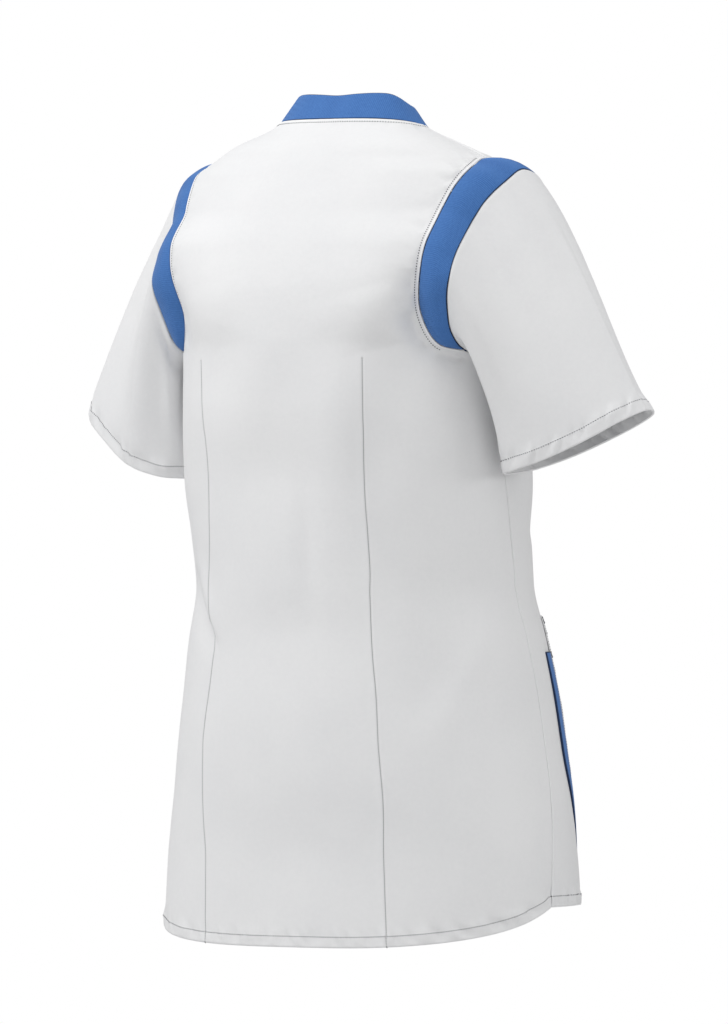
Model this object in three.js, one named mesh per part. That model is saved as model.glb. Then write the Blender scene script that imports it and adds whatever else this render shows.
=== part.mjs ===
import * as THREE from 'three';

// A woman's medical tunic, filled out as it is worn, with nothing inside it.
// Millimetres. +Z is up, +X is the wearer's left and -Y is the front. The origin is in the middle
// of the neck opening, level with the points where the shoulder seams meet the collar.

// Driving dimensions
const clothWall = 2;
const knitWall = 2.2;
const seamGap = 0.3;
const backLength = 735;
const sideLength = 699;
const frontLength = 711;
const underarmDrop = 214;
const shoulderDrop = 31;
const neckHalfWidth = 76.5;
const backNeckRise = 6;
const backNeckCurve = 5;
const vNeckDepth = 150;
const vNeckCurve = 1.5;
const hemCurve = 4;
const hemBlend = 150;

// The knit inserts swell out by their bulge where they are at least this wide.
const insertBulge = 4.5;
const fullInsertWidth = 25;
const insertTipShare = 0.12;

// Which way the thickness goes at the side seams and the shoulder seams of the left side, and
// the way across the armhole's seam where its two edges meet.
const sideInward = new THREE.Vector3(-1, 0, 0);
const shoulderInward = new THREE.Vector3(-0.2, 0, -1).normalize();
const tipAcross = new THREE.Vector3(1, 0, -0.3).normalize();

// How the panels' rows bend to the neck and the hem: the front rows crowd together a little
// towards the V's point, the back and front neck edges draw in the rows close below them, and
// the hem's curve fades out above it.
const frontRowCrowding = 0.9;
const backNeckPull = 4;
const frontNeckPull = 2;
const hemFade = 2;

// The pockets' levels, the panel columns that they lie between, and their slanted side edge.
const pocketBottom = -655;
const pocketTop = -440;
const bandTop = -472;
const pocketInner = 4;
const bandInner = 9;
const pocketEdge = 10;
const slantTop = -560;
const slantAngle = 9;

// How the sleeve leaves the armhole: the share of the way from straight across the seam to
// straight down the sleeve, how full it stands, and the direction under the arm, which fades out
// where the insert is this wide.
const sleeveFall = 0.8;
const sleeveFullness = 1.08;
const sleeveUnderside = new THREE.Vector3(1.32, -0.45, -0.16);
const undersideWidth = 20;

// How finely the pieces are divided.
const panelColumns = 11;
const insertSteps = 12;
const insertRows = 3;
const shoulderRows = 3;
const sleeveRows = 8;
const collarFrontColumns = 14;
const collarBackColumns = 10;
const collarRows = 2;
const halvings = 40;

// Colours and roughness
const white = { color: 0xf2f3f5, roughness: 0.85 };
const blue = { color: 0x3f6fb4, roughness: 0.9 };

function table(columns, rows) {
  return rows.map((row) => Object.fromEntries(columns.map((column, i) => [column, row[i]])));
}

// Level sections of the torso, from below the hem up to the neck. Each is an oval with its own
// back and front depth, widest at the side seams. A squareness over 2 fills its corners out.
const sections = table(
  ['name', 'z', 'halfWidth', 'sideY', 'backY', 'frontY', 'backSquare', 'frontSquare'],
  [
    ['below_hem', -760, 200, -18, 101, -172, 2.4, 2.2],
    ['hem', -660, 196, -28, 104, -164, 2.4, 2.2],
    ['thigh', -590, 188, -36, 109, -156, 2.4, 2.2],
    ['hip', -520, 177, -36, 112, -152, 2.4, 2.2],
    ['high_hip', -460, 167, -31, 111, -144, 2.4, 2.2],
    ['waist', -410, 155, -29, 115, -137, 2.4, 2.2],
    ['above_waist', -370, 157, -20, 117, -134, 2.4, 2.2],
    ['ribs', -320, 160, -7, 119, -142, 2.4, 2.2],
    ['bust', -250, 158, 5, 129, -148, 2.25, 2.2],
    ['underarm', -200, 160, 9, 131, -140, 2.05, 2.2],
    ['blade', -150, 168, 14, 126.5, -122, 2.6, 2.3],
    ['chest', -110, 172, 16, 116.5, -104, 2.7, 2.4],
    ['upper_chest', -75, 170, 10, 102, -84, 2.1, 2.4],
    ['below_shoulder', -45, 162, 4, 86, -64, 2.1, 2.3],
    ['shoulder', -31, 144.5, 0, 78.5, -50.5, 2.05, 2.3],
    ['yoke', -16, 113.5, 1, 67.5, -38.5, 2.45, 1.9],
    ['neck', 0, 76.5, 1.5, 49, -25.5, 2.35, 1.65],
    ['collar', 12, 62.5, 1.5, 40, -20.5, 2.35, 1.65],
  ],
);

// Behind each arm the cloth turns in towards the armhole: where that hollow is deepest, how far it
// reaches round the body (degrees) and up it, and its depth.
const armpit = { angle: 68, z: -163, reach: 14, height: 25.5, depth: 13.4 };

// The left armhole as one loop: where the body's edge lies on the torso (the angle from centre
// back, and the height), and how far from it the sleeve's edge is. The knit insert fills the gap.
const armhole = table(
  ['name', 'angle', 'z', 'reachX', 'reachY', 'reachZ'],
  [
    ['underarm', 90, -underarmDrop, 0, 0, 0],
    ['front_tip', 106, -205, 0, 0, 0],
    ['front_curl', 114, -192, 12, -3.5, -1],
    ['front_low', 119, -176, 24, -6, -2.5],
    ['front_in', 121, -150, 29, -3, -3.5],
    ['front_mid', 119, -124, 28.5, 1.5, -6],
    ['front_up', 115, -95, 27, 1, -9],
    ['front_cap', 109, -66, 28, -5, -10],
    ['front_top', 101, -42, 31, -10, -9.5],
    ['shoulder', 90, -shoulderDrop, 34, -9, -9.5],
    ['back_top', 79.6, -38.8, 29, -10.5, -13.5],
    ['back_cap', 73, -55.8, 26, -11, -13.5],
    ['back_up', 67.8, -81.5, 24, -13, -10.5],
    ['back_mid', 62.2, -109, 24.5, -12.5, -8.5],
    ['back_in', 60.2, -139, 28, -5, -3],
    ['back_low', 61.6, -169.2, 28, -1, 4.5],
    ['back_curl', 66.7, -196.5, 15.5, -0.5, 8],
    ['back_tip', 77, -203.5, 0, 0, 0],
  ],
);
const frontTip = 1;
const shoulderStation = 9;
const backTip = 17;
const armholeMiddle = new THREE.Vector3(130, 12, -122);

// The left sleeve's hem is a tilted ring, lowest inside and behind.
const sleeveHem = {
  middle: new THREE.Vector3(238, -9.5, -286),
  outward: new THREE.Vector3(66, -10.5, 30.5),
  backward: new THREE.Vector3(-8, 44, -12.5),
};

// How far the collar's free edge stands from its seam, from centre front round to centre back.
const collarLean = table(
  ['name', 'station', 'inX', 'backY', 'upZ'],
  [
    ['centre_front', 0, 0, 12, 42],
    ['chest', 0.3, -21, 6, 17],
    ['throat', 0.6, -22.5, 6, 12],
    ['neck_front', 0.85, -16.5, 1, 15.5],
    ['neck_side', 1, -16, -4.5, 18.5],
    ['neck_back', 1.35, -7, -16, 24.5],
    ['back_side', 1.65, -3, -17, 23.6],
    ['centre_back', 2, 0, -18, 22.4],
    ['past_centre', 2.35, 3, -17, 23.6],
  ],
);

const radians = (degrees) => (degrees * Math.PI) / 180;
const mix = (from, to, part) => from + (to - from) * part;

// Slopes of a curve through a table's rows that never overshoots them.
function monotoneSlopes(rows, key, along) {
  const step = rows.slice(1).map((row, i) => row[along] - rows[i][along]);
  const rise = rows.slice(1).map((row, i) => (row[key] - rows[i][key]) / step[i]);
  return rows.map((row, i) => {
    if (i === 0) return rise[0];
    if (i === rows.length - 1) return rise[i - 1];
    if (rise[i - 1] * rise[i] <= 0) return 0;
    const before = 2 * step[i] + step[i - 1];
    const after = step[i] + 2 * step[i - 1];
    return (before + after) / (before / rise[i - 1] + after / rise[i]);
  });
}

function smoothTable(rows, along) {
  const keys = Object.keys(rows[0]).filter((key) => key !== 'name' && key !== along);
  const slopes = Object.fromEntries(keys.map((key) => [key, monotoneSlopes(rows, key, along)]));
  return (value) => {
    const place = THREE.MathUtils.clamp(value, rows[0][along], rows[rows.length - 1][along]);
    const above = rows.findIndex((row) => row[along] >= place);
    const i = Math.max(above - 1, 0);
    const step = rows[i + 1][along] - rows[i][along];
    const t = (place - rows[i][along]) / step;
    const hermite = (key) =>
      (2 * t ** 3 - 3 * t ** 2 + 1) * rows[i][key] +
      (t ** 3 - 2 * t ** 2 + t) * step * slopes[key][i] +
      (3 * t ** 2 - 2 * t ** 3) * rows[i + 1][key] +
      (t ** 3 - t ** 2) * step * slopes[key][i + 1];
    return Object.fromEntries(keys.map((key) => [key, hermite(key)]));
  };
}

const sectionAt = smoothTable(sections, 'z');
const leanAt = smoothTable(collarLean, 'station');

// A point of the torso's outer face: the angle is in degrees from centre back to the left.
function torsoPoint(angle, z) {
  const section = sectionAt(z);
  const across = Math.sin(radians(angle));
  const deep = Math.cos(radians(angle));
  const depth = deep >= 0 ? section.backY - section.sideY : section.sideY - section.frontY;
  const square = deep >= 0 ? section.backSquare : section.frontSquare;
  const wide = (Math.abs(across) / section.halfWidth) ** square;
  const long = (Math.abs(deep) / depth) ** square;
  const around = (Math.abs(angle) - armpit.angle) / armpit.reach;
  const hollow = armpit.depth * Math.exp(-(around ** 2) - ((z - armpit.z) / armpit.height) ** 2);
  const reach = (wide + long) ** (-1 / square) - hollow;
  return new THREE.Vector3(reach * across, section.sideY + reach * deep, z);
}

// A smooth closed curve through a table's rows, at a row number that may be a fraction.
function loopRow(rows, place) {
  const count = rows.length;
  const first = Math.floor(place);
  const t = place - first;
  const near = [-1, 0, 1, 2].map((k) => rows[(first + k + 2 * count) % count]);
  const keys = Object.keys(rows[0]).filter((key) => key !== 'name');
  const blend = (key) => {
    const [a, b, c, d] = near.map((row) => row[key]);
    return b + 0.5 * t * (c - a + t * (2 * a - 5 * b + 4 * c - d + t * (3 * (b - c) + d - a)));
  };
  return Object.fromEntries(keys.map((key) => [key, blend(key)]));
}

// The armhole at one place round its loop: the body's edge, the sleeve's edge, the direction
// across the seam, and the direction in which the cloth's thickness goes there.
function armholeAt(place) {
  const row = loopRow(armhole, place);
  const body = torsoPoint(row.angle, row.z);
  const reach = new THREE.Vector3(row.reachX, row.reachY, row.reachZ);
  const sleeve = body.clone().add(reach);
  const across = reach.lengthSq() > 1 ? reach.clone().normalize() : tipAcross;
  const inward = armholeMiddle.clone().sub(body).normalize();
  return { row, body, sleeve, across, inward, width: reach.length() };
}

const seamShift = (frame, amount) => frame.across.clone().multiplyScalar(amount);

// ---- Cloth walls

// Normals of a grid of points, from the faces round each one.
function gridNormals(points, wrap) {
  const rows = points.length;
  const columns = points[0].length;
  const at = (j, i) => {
    const column = wrap ? (i + columns) % columns : THREE.MathUtils.clamp(i, 0, columns - 1);
    return points[THREE.MathUtils.clamp(j, 0, rows - 1)][column];
  };
  return points.map((row, j) =>
    row.map((_, i) => {
      const along = at(j, i + 1).clone().sub(at(j, i - 1));
      const up = at(j + 1, i).clone().sub(at(j - 1, i));
      return along.cross(up).normalize();
    }),
  );
}

// A closed wall between an outer and an inner grid of points. Where wrap is set, the last column
// joins the first, and the wall is a tube that stays open at both ends. Each cell is cut into two
// triangles along one diagonal, and the columns before the mirror column along the other.
function wallGeometry(outer, inner, { wrap = false, mirrorColumn = 0 } = {}) {
  const rows = outer.length;
  const columns = outer[0].length;
  const positions = [];
  const triangles = (corners) => {
    for (const corner of corners) positions.push(corner.x, corner.y, corner.z);
  };
  const quad = (a, b, c, d) => triangles([a, b, c, a, c, d]);
  const lastColumn = wrap ? columns : columns - 1;
  for (let j = 0; j < rows - 1; j += 1) {
    for (let i = 0; i < lastColumn; i += 1) {
      const next = (i + 1) % columns;
      const [a, b, c, d] = [outer[j][i], outer[j][next], outer[j + 1][next], outer[j + 1][i]];
      const [e, f, g, h] = [inner[j][i], inner[j + 1][i], inner[j + 1][next], inner[j][next]];
      triangles(i < mirrorColumn ? [a, b, d, b, c, d] : [a, b, c, a, c, d]);
      triangles(i < mirrorColumn ? [e, f, h, f, g, h] : [e, f, g, e, g, h]);
    }
  }
  for (let i = 0; i < lastColumn; i += 1) {
    const next = (i + 1) % columns;
    const top = rows - 1;
    quad(inner[0][i], inner[0][next], outer[0][next], outer[0][i]);
    quad(outer[top][i], outer[top][next], inner[top][next], inner[top][i]);
  }
  if (!wrap) {
    const end = columns - 1;
    for (let j = 0; j < rows - 1; j += 1) {
      quad(inner[j + 1][0], inner[j][0], outer[j][0], outer[j + 1][0]);
      quad(outer[j + 1][end], outer[j][end], inner[j][end], inner[j + 1][end]);
    }
  }
  const geometry = new THREE.BufferGeometry();
  geometry.setAttribute('position', new THREE.Float32BufferAttribute(positions, 3));
  return geometry;
}

// The other hand of a geometry: mirrored across X, with its triangles turned over.
function mirrored(geometry) {
  const copy = geometry.clone().scale(-1, 1, 1);
  const position = copy.getAttribute('position');
  const second = new THREE.Vector3();
  const third = new THREE.Vector3();
  for (let i = 0; i < position.count; i += 3) {
    second.fromBufferAttribute(position, i + 1);
    third.fromBufferAttribute(position, i + 2);
    position.setXYZ(i + 1, third.x, third.y, third.z);
    position.setXYZ(i + 2, second.x, second.y, second.z);
  }
  return copy;
}

const tunic = new THREE.Group();
tunic.name = 'medical_tunic';

function add(name, geometry, finish) {
  geometry.computeVertexNormals();
  const material = new THREE.MeshStandardMaterial({ ...finish, metalness: 0 });
  const mesh = new THREE.Mesh(geometry, material);
  mesh.name = name;
  tunic.add(mesh);
}

// The inner face of a grid: each point moved in along its normal by the wall, except where a
// seam says which way the thickness goes.
function innerGrid(outer, wall, wrap, seams) {
  const normals = gridNormals(outer, wrap);
  return outer.map((row, j) =>
    row.map((point, i) => {
      const seam = seams && seams[j][i];
      const inward = seam || normals[j][i].clone().negate();
      return point.clone().addScaledVector(inward, wall);
    }),
  );
}

// ---- Back and front

const hemHeight = (angle, length) => {
  const fromMiddle = angle / 90;
  return -length + (length - sideLength) * fromMiddle ** hemCurve;
};

// The V neck's edge at a share of its leg, from the V's point (0) to the side of the neck (1).
function vNeckEdge(share) {
  const z = -vNeckDepth * (1 - share);
  const x = neckHalfWidth * (1 - (1 - share) ** vNeckCurve);
  let near = 90;
  let far = 180;
  for (let i = 0; i < halvings; i += 1) {
    const middle = (near + far) / 2;
    if (torsoPoint(middle, z).x > x) near = middle;
    else far = middle;
  }
  return { angle: (near + far) / 2, z };
}

function backNeckEdge(angle) {
  return backNeckRise * (1 - (angle / 90) ** backNeckCurve);
}

// Levels of a panel's rows up the side seam: a span between named heights and its steps.
const levels = table(
  ['name', 'bottom', 'top', 'steps'],
  [
    ['hem', -backLength, -705, 1],
    ['skirt', -705, pocketBottom, 2],
    ['pocket', pocketBottom, bandTop, 6],
    ['pocket_top', bandTop, pocketTop, 1],
    ['waist', pocketTop, -340, 4],
    ['side', -340, -underarmDrop, 3],
  ],
);
const armholeRows = insertSteps + 1;

function spread(rows) {
  const marks = [rows[0].bottom];
  for (const { bottom, top, steps } of rows) {
    for (let k = 1; k <= steps; k += 1) marks.push(mix(bottom, top, k / steps));
  }
  return marks;
}

// Each row of a panel: the angle and height of its right-hand end, with the seam there, and the
// height of its middle. Both panels climb the side seam, the armhole and the shoulder seam.
function panelRows(side) {
  const rows = spread(levels).map((level) => ({
    angle: 90,
    z: level,
    middleZ: level,
    part: 'side',
  }));
  const back = side === 'back';
  const topMiddle = back ? backNeckRise : -vNeckDepth;
  const climb = armholeRows + shoulderRows;
  const crowding = back ? 1 : frontRowCrowding;
  const middleAt = (step) => mix(-underarmDrop, topMiddle, (step / climb) ** crowding);
  for (let k = 1; k <= armholeRows; k += 1) {
    const tip = back ? backTip : frontTip;
    const place = mix(tip, shoulderStation, (k - 1) / insertSteps);
    const { row } = armholeAt(place);
    rows.push({ angle: row.angle, z: row.z, middleZ: middleAt(k), part: 'armhole', place });
  }
  for (let k = 1; k <= shoulderRows; k += 1) {
    const z = mix(-shoulderDrop, 0, k / shoulderRows);
    rows.push({ angle: 90, z, middleZ: middleAt(armholeRows + k), part: 'shoulder' });
  }
  return rows;
}

// How far forward the pocket's side edge, on its own column, leans at a height, in degrees.
function pocketSlant(z) {
  const above = THREE.MathUtils.smoothstep(-z, -slantTop, -pocketBottom);
  const below = THREE.MathUtils.smoothstep(z, -backLength, pocketBottom);
  return slantAngle * above * below;
}

function slantShare(column) {
  return column > pocketEdge
    ? (panelColumns - column) / (panelColumns - pocketEdge)
    : Math.max(0, (column - pocketInner) / (pocketEdge - pocketInner));
}

function panelGrid(side) {
  const back = side === 'back';
  const length = back ? backLength : frontLength;
  const rows = panelRows(side);
  const turn = (angle) => (back ? angle : 180 - angle);
  const seamHalf = back ? seamGap / 2 : -seamGap / 2;
  const outer = [];
  const seams = [];
  rows.forEach((row, j) => {
    const points = [];
    const inwards = [];
    const up = Math.max(0, j - spread(levels).length + 1) / (armholeRows + shoulderRows);
    const endAngle = turn(row.angle);
    for (let i = -panelColumns; i <= panelColumns; i += 1) {
      const share = Math.abs(i) / panelColumns;
      const hand = i < 0 ? -1 : 1;
      let angle = share * endAngle;
      let z = mix(row.middleZ, row.z, back ? share ** 2 : mix(share ** 2, share, up));
      if (row.part === 'side') {
        const fade = Math.max(0, 1 - (row.z + backLength) / hemBlend) ** hemFade;
        z += fade * (hemHeight(angle, length) + backLength);
        if (!back) angle -= pocketSlant(row.z) * slantShare(Math.abs(i));
      } else if (back) {
        z += up ** backNeckPull * (backNeckEdge(angle) - mix(backNeckRise, 0, share ** 2));
      } else {
        const edge = vNeckEdge(share);
        angle += up ** frontNeckPull * (180 - edge.angle - share * 90);
        z += up ** frontNeckPull * (edge.z - mix(-vNeckDepth, 0, share));
      }
      const point = torsoPoint(turn(angle), z);
      let inward = null;
      if (share === 1 && row.part === 'armhole') {
        const seam = armholeAt(row.place);
        point.copy(seam.body).sub(seamShift(seam, seamGap / 2));
        inward = seam.inward.clone();
      } else if (share === 1) {
        point.y += seamHalf;
        inward = row.part === 'shoulder' ? shoulderInward.clone() : sideInward.clone();
      }
      point.x *= hand;
      if (inward) inward.x *= hand;
      points.push(point);
      inwards.push(inward);
    }
    outer.push(back ? points.reverse() : points);
    seams.push(back ? inwards.reverse() : inwards);
  });
  for (const point of outer[outer.length - 1]) point.z -= seamGap / 2;
  return { outer, seams };
}

const panels = {};
for (const side of ['back', 'front']) {
  const { outer, seams } = panelGrid(side);
  panels[side] = outer;
  const inner = innerGrid(outer, clothWall, false, seams);
  add(side, wallGeometry(outer, inner, { mirrorColumn: panelColumns }), white);
}

// ---- Pockets

// A patch on the front, made from the panel's own points between two rows and two columns, and
// moved out by the gap. Its edges shrink by half a gap each, for the piece beside it.
function patchGeometry(fromRow, toRow, fromColumn, toColumn, wall) {
  const normals = gridNormals(panels.front, false);
  const grid = (lift) => {
    const rows = [];
    for (let j = fromRow; j <= toRow; j += 1) {
      const points = [];
      for (let column = fromColumn; column <= toColumn; column += 1) {
        const i = panelColumns + column;
        points.push(panels.front[j][i].clone().addScaledVector(normals[j][i], lift));
      }
      rows.push(points);
    }
    for (const points of rows) {
      const end = points.length - 1;
      const first = points[1].clone().sub(points[0]).setLength(seamGap / 2);
      const last = points[end - 1].clone().sub(points[end]).setLength(seamGap / 2);
      points[0].add(first);
      points[end].add(last);
    }
    return rows;
  };
  return wallGeometry(grid(seamGap + wall), grid(seamGap));
}

const rowAt = (level) => spread(levels).indexOf(level);

// ---- Knit inserts and sleeves

const insertColumns = 2 * insertSteps;

// The insert's ends stop just short of the points where its two seams meet.
function insertGrid() {
  const stations = [];
  for (let i = 0; i <= insertColumns; i += 1) {
    stations.push(armholeAt(mix(backTip, frontTip, i / insertColumns)));
  }
  const outer = [];
  const seams = [];
  for (let j = 0; j <= insertRows; j += 1) {
    const share = j / insertRows;
    const points = stations.map((seam) => {
      const near = seam.body.clone().add(seamShift(seam, seamGap / 2));
      const far = seam.sleeve.clone().sub(seamShift(seam, seamGap / 2));
      const swell = Math.min(1, seam.width / fullInsertWidth);
      const bulge = Math.sin(Math.PI * share) * insertBulge * swell;
      return near.lerp(far, share).addScaledVector(seam.inward, -bulge);
    });
    points[0].lerp(points[1], insertTipShare);
    points[insertColumns].lerp(points[insertColumns - 1], insertTipShare);
    outer.push(points);
    seams.push(stations.map((seam) => seam.inward));
  }
  return { outer, seams };
}

// The sleeve's columns start where the insert's do, and once more under the arm. Each ends at
// its own share of the hem, counted by length of seam from the shoulder.
function sleevePlaces() {
  const places = [0];
  for (let i = 0; i <= insertColumns; i += 1) {
    places.push(mix(frontTip, backTip, i / insertColumns));
  }
  const starts = places.map((place) => armholeAt(place).sleeve);
  const marks = [0];
  for (let k = 1; k < places.length; k += 1) {
    marks.push(marks[k - 1] + starts[k].distanceTo(starts[k - 1]));
  }
  const whole = marks[places.length - 1] + starts[0].distanceTo(starts[places.length - 1]);
  const shoulderMark = marks[1 + insertSteps];
  return places.map((place, k) => {
    const front = marks[k] < shoulderMark;
    const span = front ? shoulderMark : whole - shoulderMark;
    const passed = front ? marks[k] : marks[k] - shoulderMark;
    return { place, turn: (front ? 180 : 0) + (180 * passed) / span };
  });
}

function sleeveHemPoint(turn) {
  return sleeveHem.middle
    .clone()
    .addScaledVector(sleeveHem.outward, Math.cos(radians(turn)))
    .addScaledVector(sleeveHem.backward, Math.sin(radians(turn)));
}

// The sleeve's rows climb from its hem to the armhole, so that its faces look outwards.
function sleeveGrid() {
  const places = sleevePlaces();
  const outer = [];
  const seams = [];
  for (let j = sleeveRows; j >= 0; j -= 1) {
    const v = j / sleeveRows;
    const points = [];
    const inwards = [];
    for (const { place, turn } of places) {
      const seam = armholeAt(place);
      const start = seam.sleeve.clone().add(seamShift(seam, seamGap / 2));
      const end = sleeveHemPoint(turn);
      const span = end.clone().sub(start);
      const along = span.clone().normalize();
      const share = Math.min(1, seam.width / undersideWidth);
      const fall = seam.across.clone().lerp(along, sleeveFall);
      const leave = sleeveUnderside.clone().lerp(fall, share);
      leave.setLength(sleeveFullness * span.length());
      const point = start.clone().multiplyScalar(2 * v ** 3 - 3 * v ** 2 + 1);
      point.addScaledVector(leave, v ** 3 - 2 * v ** 2 + v);
      point.addScaledVector(end, 3 * v ** 2 - 2 * v ** 3);
      point.addScaledVector(span, v ** 3 - v ** 2);
      points.push(point);
      inwards.push(j === 0 ? seam.inward : null);
    }
    outer.push(points);
    seams.push(inwards);
  }
  return { outer, seams };
}

const hands = { left: (geometry) => geometry, right: mirrored };
const insert = insertGrid();
const insertInner = innerGrid(insert.outer, knitWall, false, insert.seams);
const insertWall = wallGeometry(insert.outer, insertInner);
const sleeve = sleeveGrid();
const sleeveInner = innerGrid(sleeve.outer, clothWall, true, sleeve.seams);
const sleeveWall = wallGeometry(sleeve.outer, sleeveInner, { wrap: true });
const pocketRows = [rowAt(pocketBottom), rowAt(pocketTop)];
const pocketWall = patchGeometry(...pocketRows, pocketInner, bandInner, clothWall);
const bandRows = [rowAt(pocketBottom), rowAt(bandTop)];
const bandWall = patchGeometry(...bandRows, bandInner, pocketEdge, knitWall);
for (const [hand, turned] of Object.entries(hands)) {
  add(`pocket_${hand}`, turned(pocketWall), white);
  add(`pocket_band_${hand}`, turned(bandWall), blue);
  add(`insert_${hand}`, turned(insertWall), blue);
  add(`sleeve_${hand}`, turned(sleeveWall), white);
}

// ---- Collar

// The neck seam, by station: 0 is the V's point, 1 is the side of the neck, 2 is centre back.
function neckSeam(station) {
  if (station <= 1) {
    const edge = vNeckEdge(station);
    return torsoPoint(edge.angle, edge.z);
  }
  const angle = 90 * (2 - station);
  return torsoPoint(angle, backNeckEdge(angle));
}

function collarGrid() {
  const stations = [];
  for (let k = 0; k < collarFrontColumns; k += 1) stations.push(k / collarFrontColumns);
  for (let k = 0; k < collarBackColumns; k += 1) stations.push(1 + k / collarBackColumns);
  const left = stations.map((station) => ({ station, hand: 1 }));
  const right = stations.slice(1).map((station) => ({ station, hand: -1 }));
  const round = [...left, { station: 2, hand: 1 }, ...right.reverse()];
  const outer = [];
  for (let j = 0; j <= collarRows; j += 1) {
    outer.push(
      round.map(({ station, hand }) => {
        const lean = leanAt(station);
        const rise = new THREE.Vector3(lean.inX, lean.backY, lean.upZ);
        const gap = seamGap / rise.length();
        const point = neckSeam(station).addScaledVector(rise, mix(gap, 1, j / collarRows));
        point.x *= hand;
        return point;
      }),
    );
  }
  return outer;
}

const collarOuter = collarGrid();
const collarInner = innerGrid(collarOuter, knitWall, true);
add('collar', wallGeometry(collarOuter, collarInner, { wrap: true }), blue);

export default tunic;
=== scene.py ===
"""A woman's medical tunic: white cloth with blue rib-knit trims, filled out as it is worn."""

import math

import bmesh
import bpy
import numpy as np
from bpy.props import FloatProperty, FloatVectorProperty, PointerProperty
from mathutils import Matrix, Vector, noise
from mathutils.bvhtree import BVHTree
from mathutils.kdtree import KDTree


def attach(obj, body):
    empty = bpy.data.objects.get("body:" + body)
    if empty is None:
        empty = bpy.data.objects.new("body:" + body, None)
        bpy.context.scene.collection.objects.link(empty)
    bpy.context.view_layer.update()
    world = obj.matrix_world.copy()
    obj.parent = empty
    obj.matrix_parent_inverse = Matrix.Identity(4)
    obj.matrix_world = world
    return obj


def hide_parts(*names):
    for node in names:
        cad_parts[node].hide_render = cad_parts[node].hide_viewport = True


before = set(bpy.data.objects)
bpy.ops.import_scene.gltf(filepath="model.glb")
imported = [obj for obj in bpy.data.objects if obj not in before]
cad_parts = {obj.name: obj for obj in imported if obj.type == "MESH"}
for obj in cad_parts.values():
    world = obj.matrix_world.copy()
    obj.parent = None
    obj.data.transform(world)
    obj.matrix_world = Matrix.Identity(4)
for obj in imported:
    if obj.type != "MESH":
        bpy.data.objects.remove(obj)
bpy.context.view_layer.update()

bl_info = {
    "name": "Medical tunic",
    "version": (1, 0, 0),
    "blender": (4, 5, 0),
    "location": "View3D > Sidebar > Tunic",
    "description": "Builds a white medical tunic with blue rib-knit collar and armhole inserts",
    "category": "Object",
}

MM = 0.001
MIRROR = np.array((-1.0, 1.0, 1.0))

# Driving dimensions of the cut, in millimetres. +Z is up, +X is the wearer's left and -Y is the
# front. The origin is in the middle of the neck, level with the tops of the shoulder seams.
BACK_LENGTH = 735
SIDE_LENGTH = 699
FRONT_LENGTH = 713
UNDERARM_DROP = 214
SHOULDER_DROP = 31
NECK_HALF_WIDTH = 76.5
BACK_NECK_RISE = 6
V_NECK_DEPTH = 150
V_NECK_CURVE = 1.5
INSERT_BULGE = 4.5

# The hem rises from the middle to the side seams: behind by a power of the way round, in front
# within some degrees of the middle. The rise fades out over the blend's height above the hem.
HEM_CURVE = 4
FRONT_HEM_TURN = 74
HEM_BLEND = 150

# A pocket's upright edges are in columns of the front, of which a quarter of the body has
# PANEL_COLUMNS. Its mouth slants forward below SLANT_TOP, by SLANT_ANGLE degrees at the bottom.
PANEL_COLUMNS = 11
POCKET_INNER = 4
BAND_INNER = 9
POCKET_EDGE = 9.75
POCKET_BOTTOM = -655
POCKET_TOP = -440
POCKET_HEM = 18
POCKET_STITCH = 1.8
BARTACK_LENGTH = 7
BAND_TOP = -472
SLANT_TOP = -560
SLANT_ANGLE = 10

# A panel's grid. Along half a row: its girth, and where the dart crosses it. Up the armhole and
# the shoulder: their length, and the steps that it is counted in. The armhole's tip is at the
# first of these, the shoulder seam starts at SHOULDER_STEP, and the neck is at NECK_STEP.
HALF_GIRTH = 240
DART_PLACE = 88
ARMHOLE_RUN = 270
TIP_STEP = 1
SHOULDER_STEP = 13
NECK_STEP = 16

# The finest and the coarsest spacing of each grid, and how fast it opens out between them, for
# each millimetre from its crowded places.
PANEL_COLUMN_GAPS = (0.45, 3.0)
SIDE_ROW_GAPS = (1.0, 5.0)
ARMHOLE_ROW_GAPS = (0.6, 3.1)
SLEEVE_ROW_GAPS = (0.9, 3.0)
SLEEVE_COLUMNS = 150
SPREAD = 0.22

# Level sections of the torso: ovals with their own back and front depth, widest at the sides.
# Columns: z, half_width, side_y, back_y, front_y, back_square, front_square.
SECTIONS = {
    "below_hem": (-760, 200, -18, 101, -172, 2.4, 2.2),
    "hem": (-660, 196, -28, 104, -164, 2.4, 2.2),
    "thigh": (-590, 188, -36, 109, -156, 2.4, 2.2),
    "hip": (-520, 177, -36, 112, -152, 2.4, 2.2),
    "high_hip": (-460, 167, -31, 111, -144, 2.4, 2.2),
    "waist": (-410, 155, -29, 115, -137, 2.4, 2.2),
    "above_waist": (-370, 157, -20, 117, -134, 2.4, 2.2),
    "ribs": (-320, 160, -7, 119, -142, 2.4, 2.2),
    "bust": (-250, 158, 5, 129, -148, 2.25, 2.2),
    "underarm": (-200, 160, 9, 131, -140, 2.05, 2.2),
    "blade": (-150, 168, 14, 126.5, -122, 2.6, 2.3),
    "chest": (-110, 172, 16, 116.5, -104, 2.7, 2.4),
    "upper_chest": (-75, 170, 10, 102, -84, 2.1, 2.4),
    "below_shoulder": (-45, 162, 4, 86, -64, 2.1, 2.3),
    "shoulder": (-31, 144.5, 0, 78.5, -50.5, 2.05, 2.3),
    "yoke": (-16, 113.5, 1, 67.5, -38.5, 2.45, 1.9),
    "neck": (0, 76.5, 1.5, 49, -25.5, 2.35, 1.65),
    "collar": (12, 62.5, 1.5, 40, -20.5, 2.35, 1.65),
}

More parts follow.
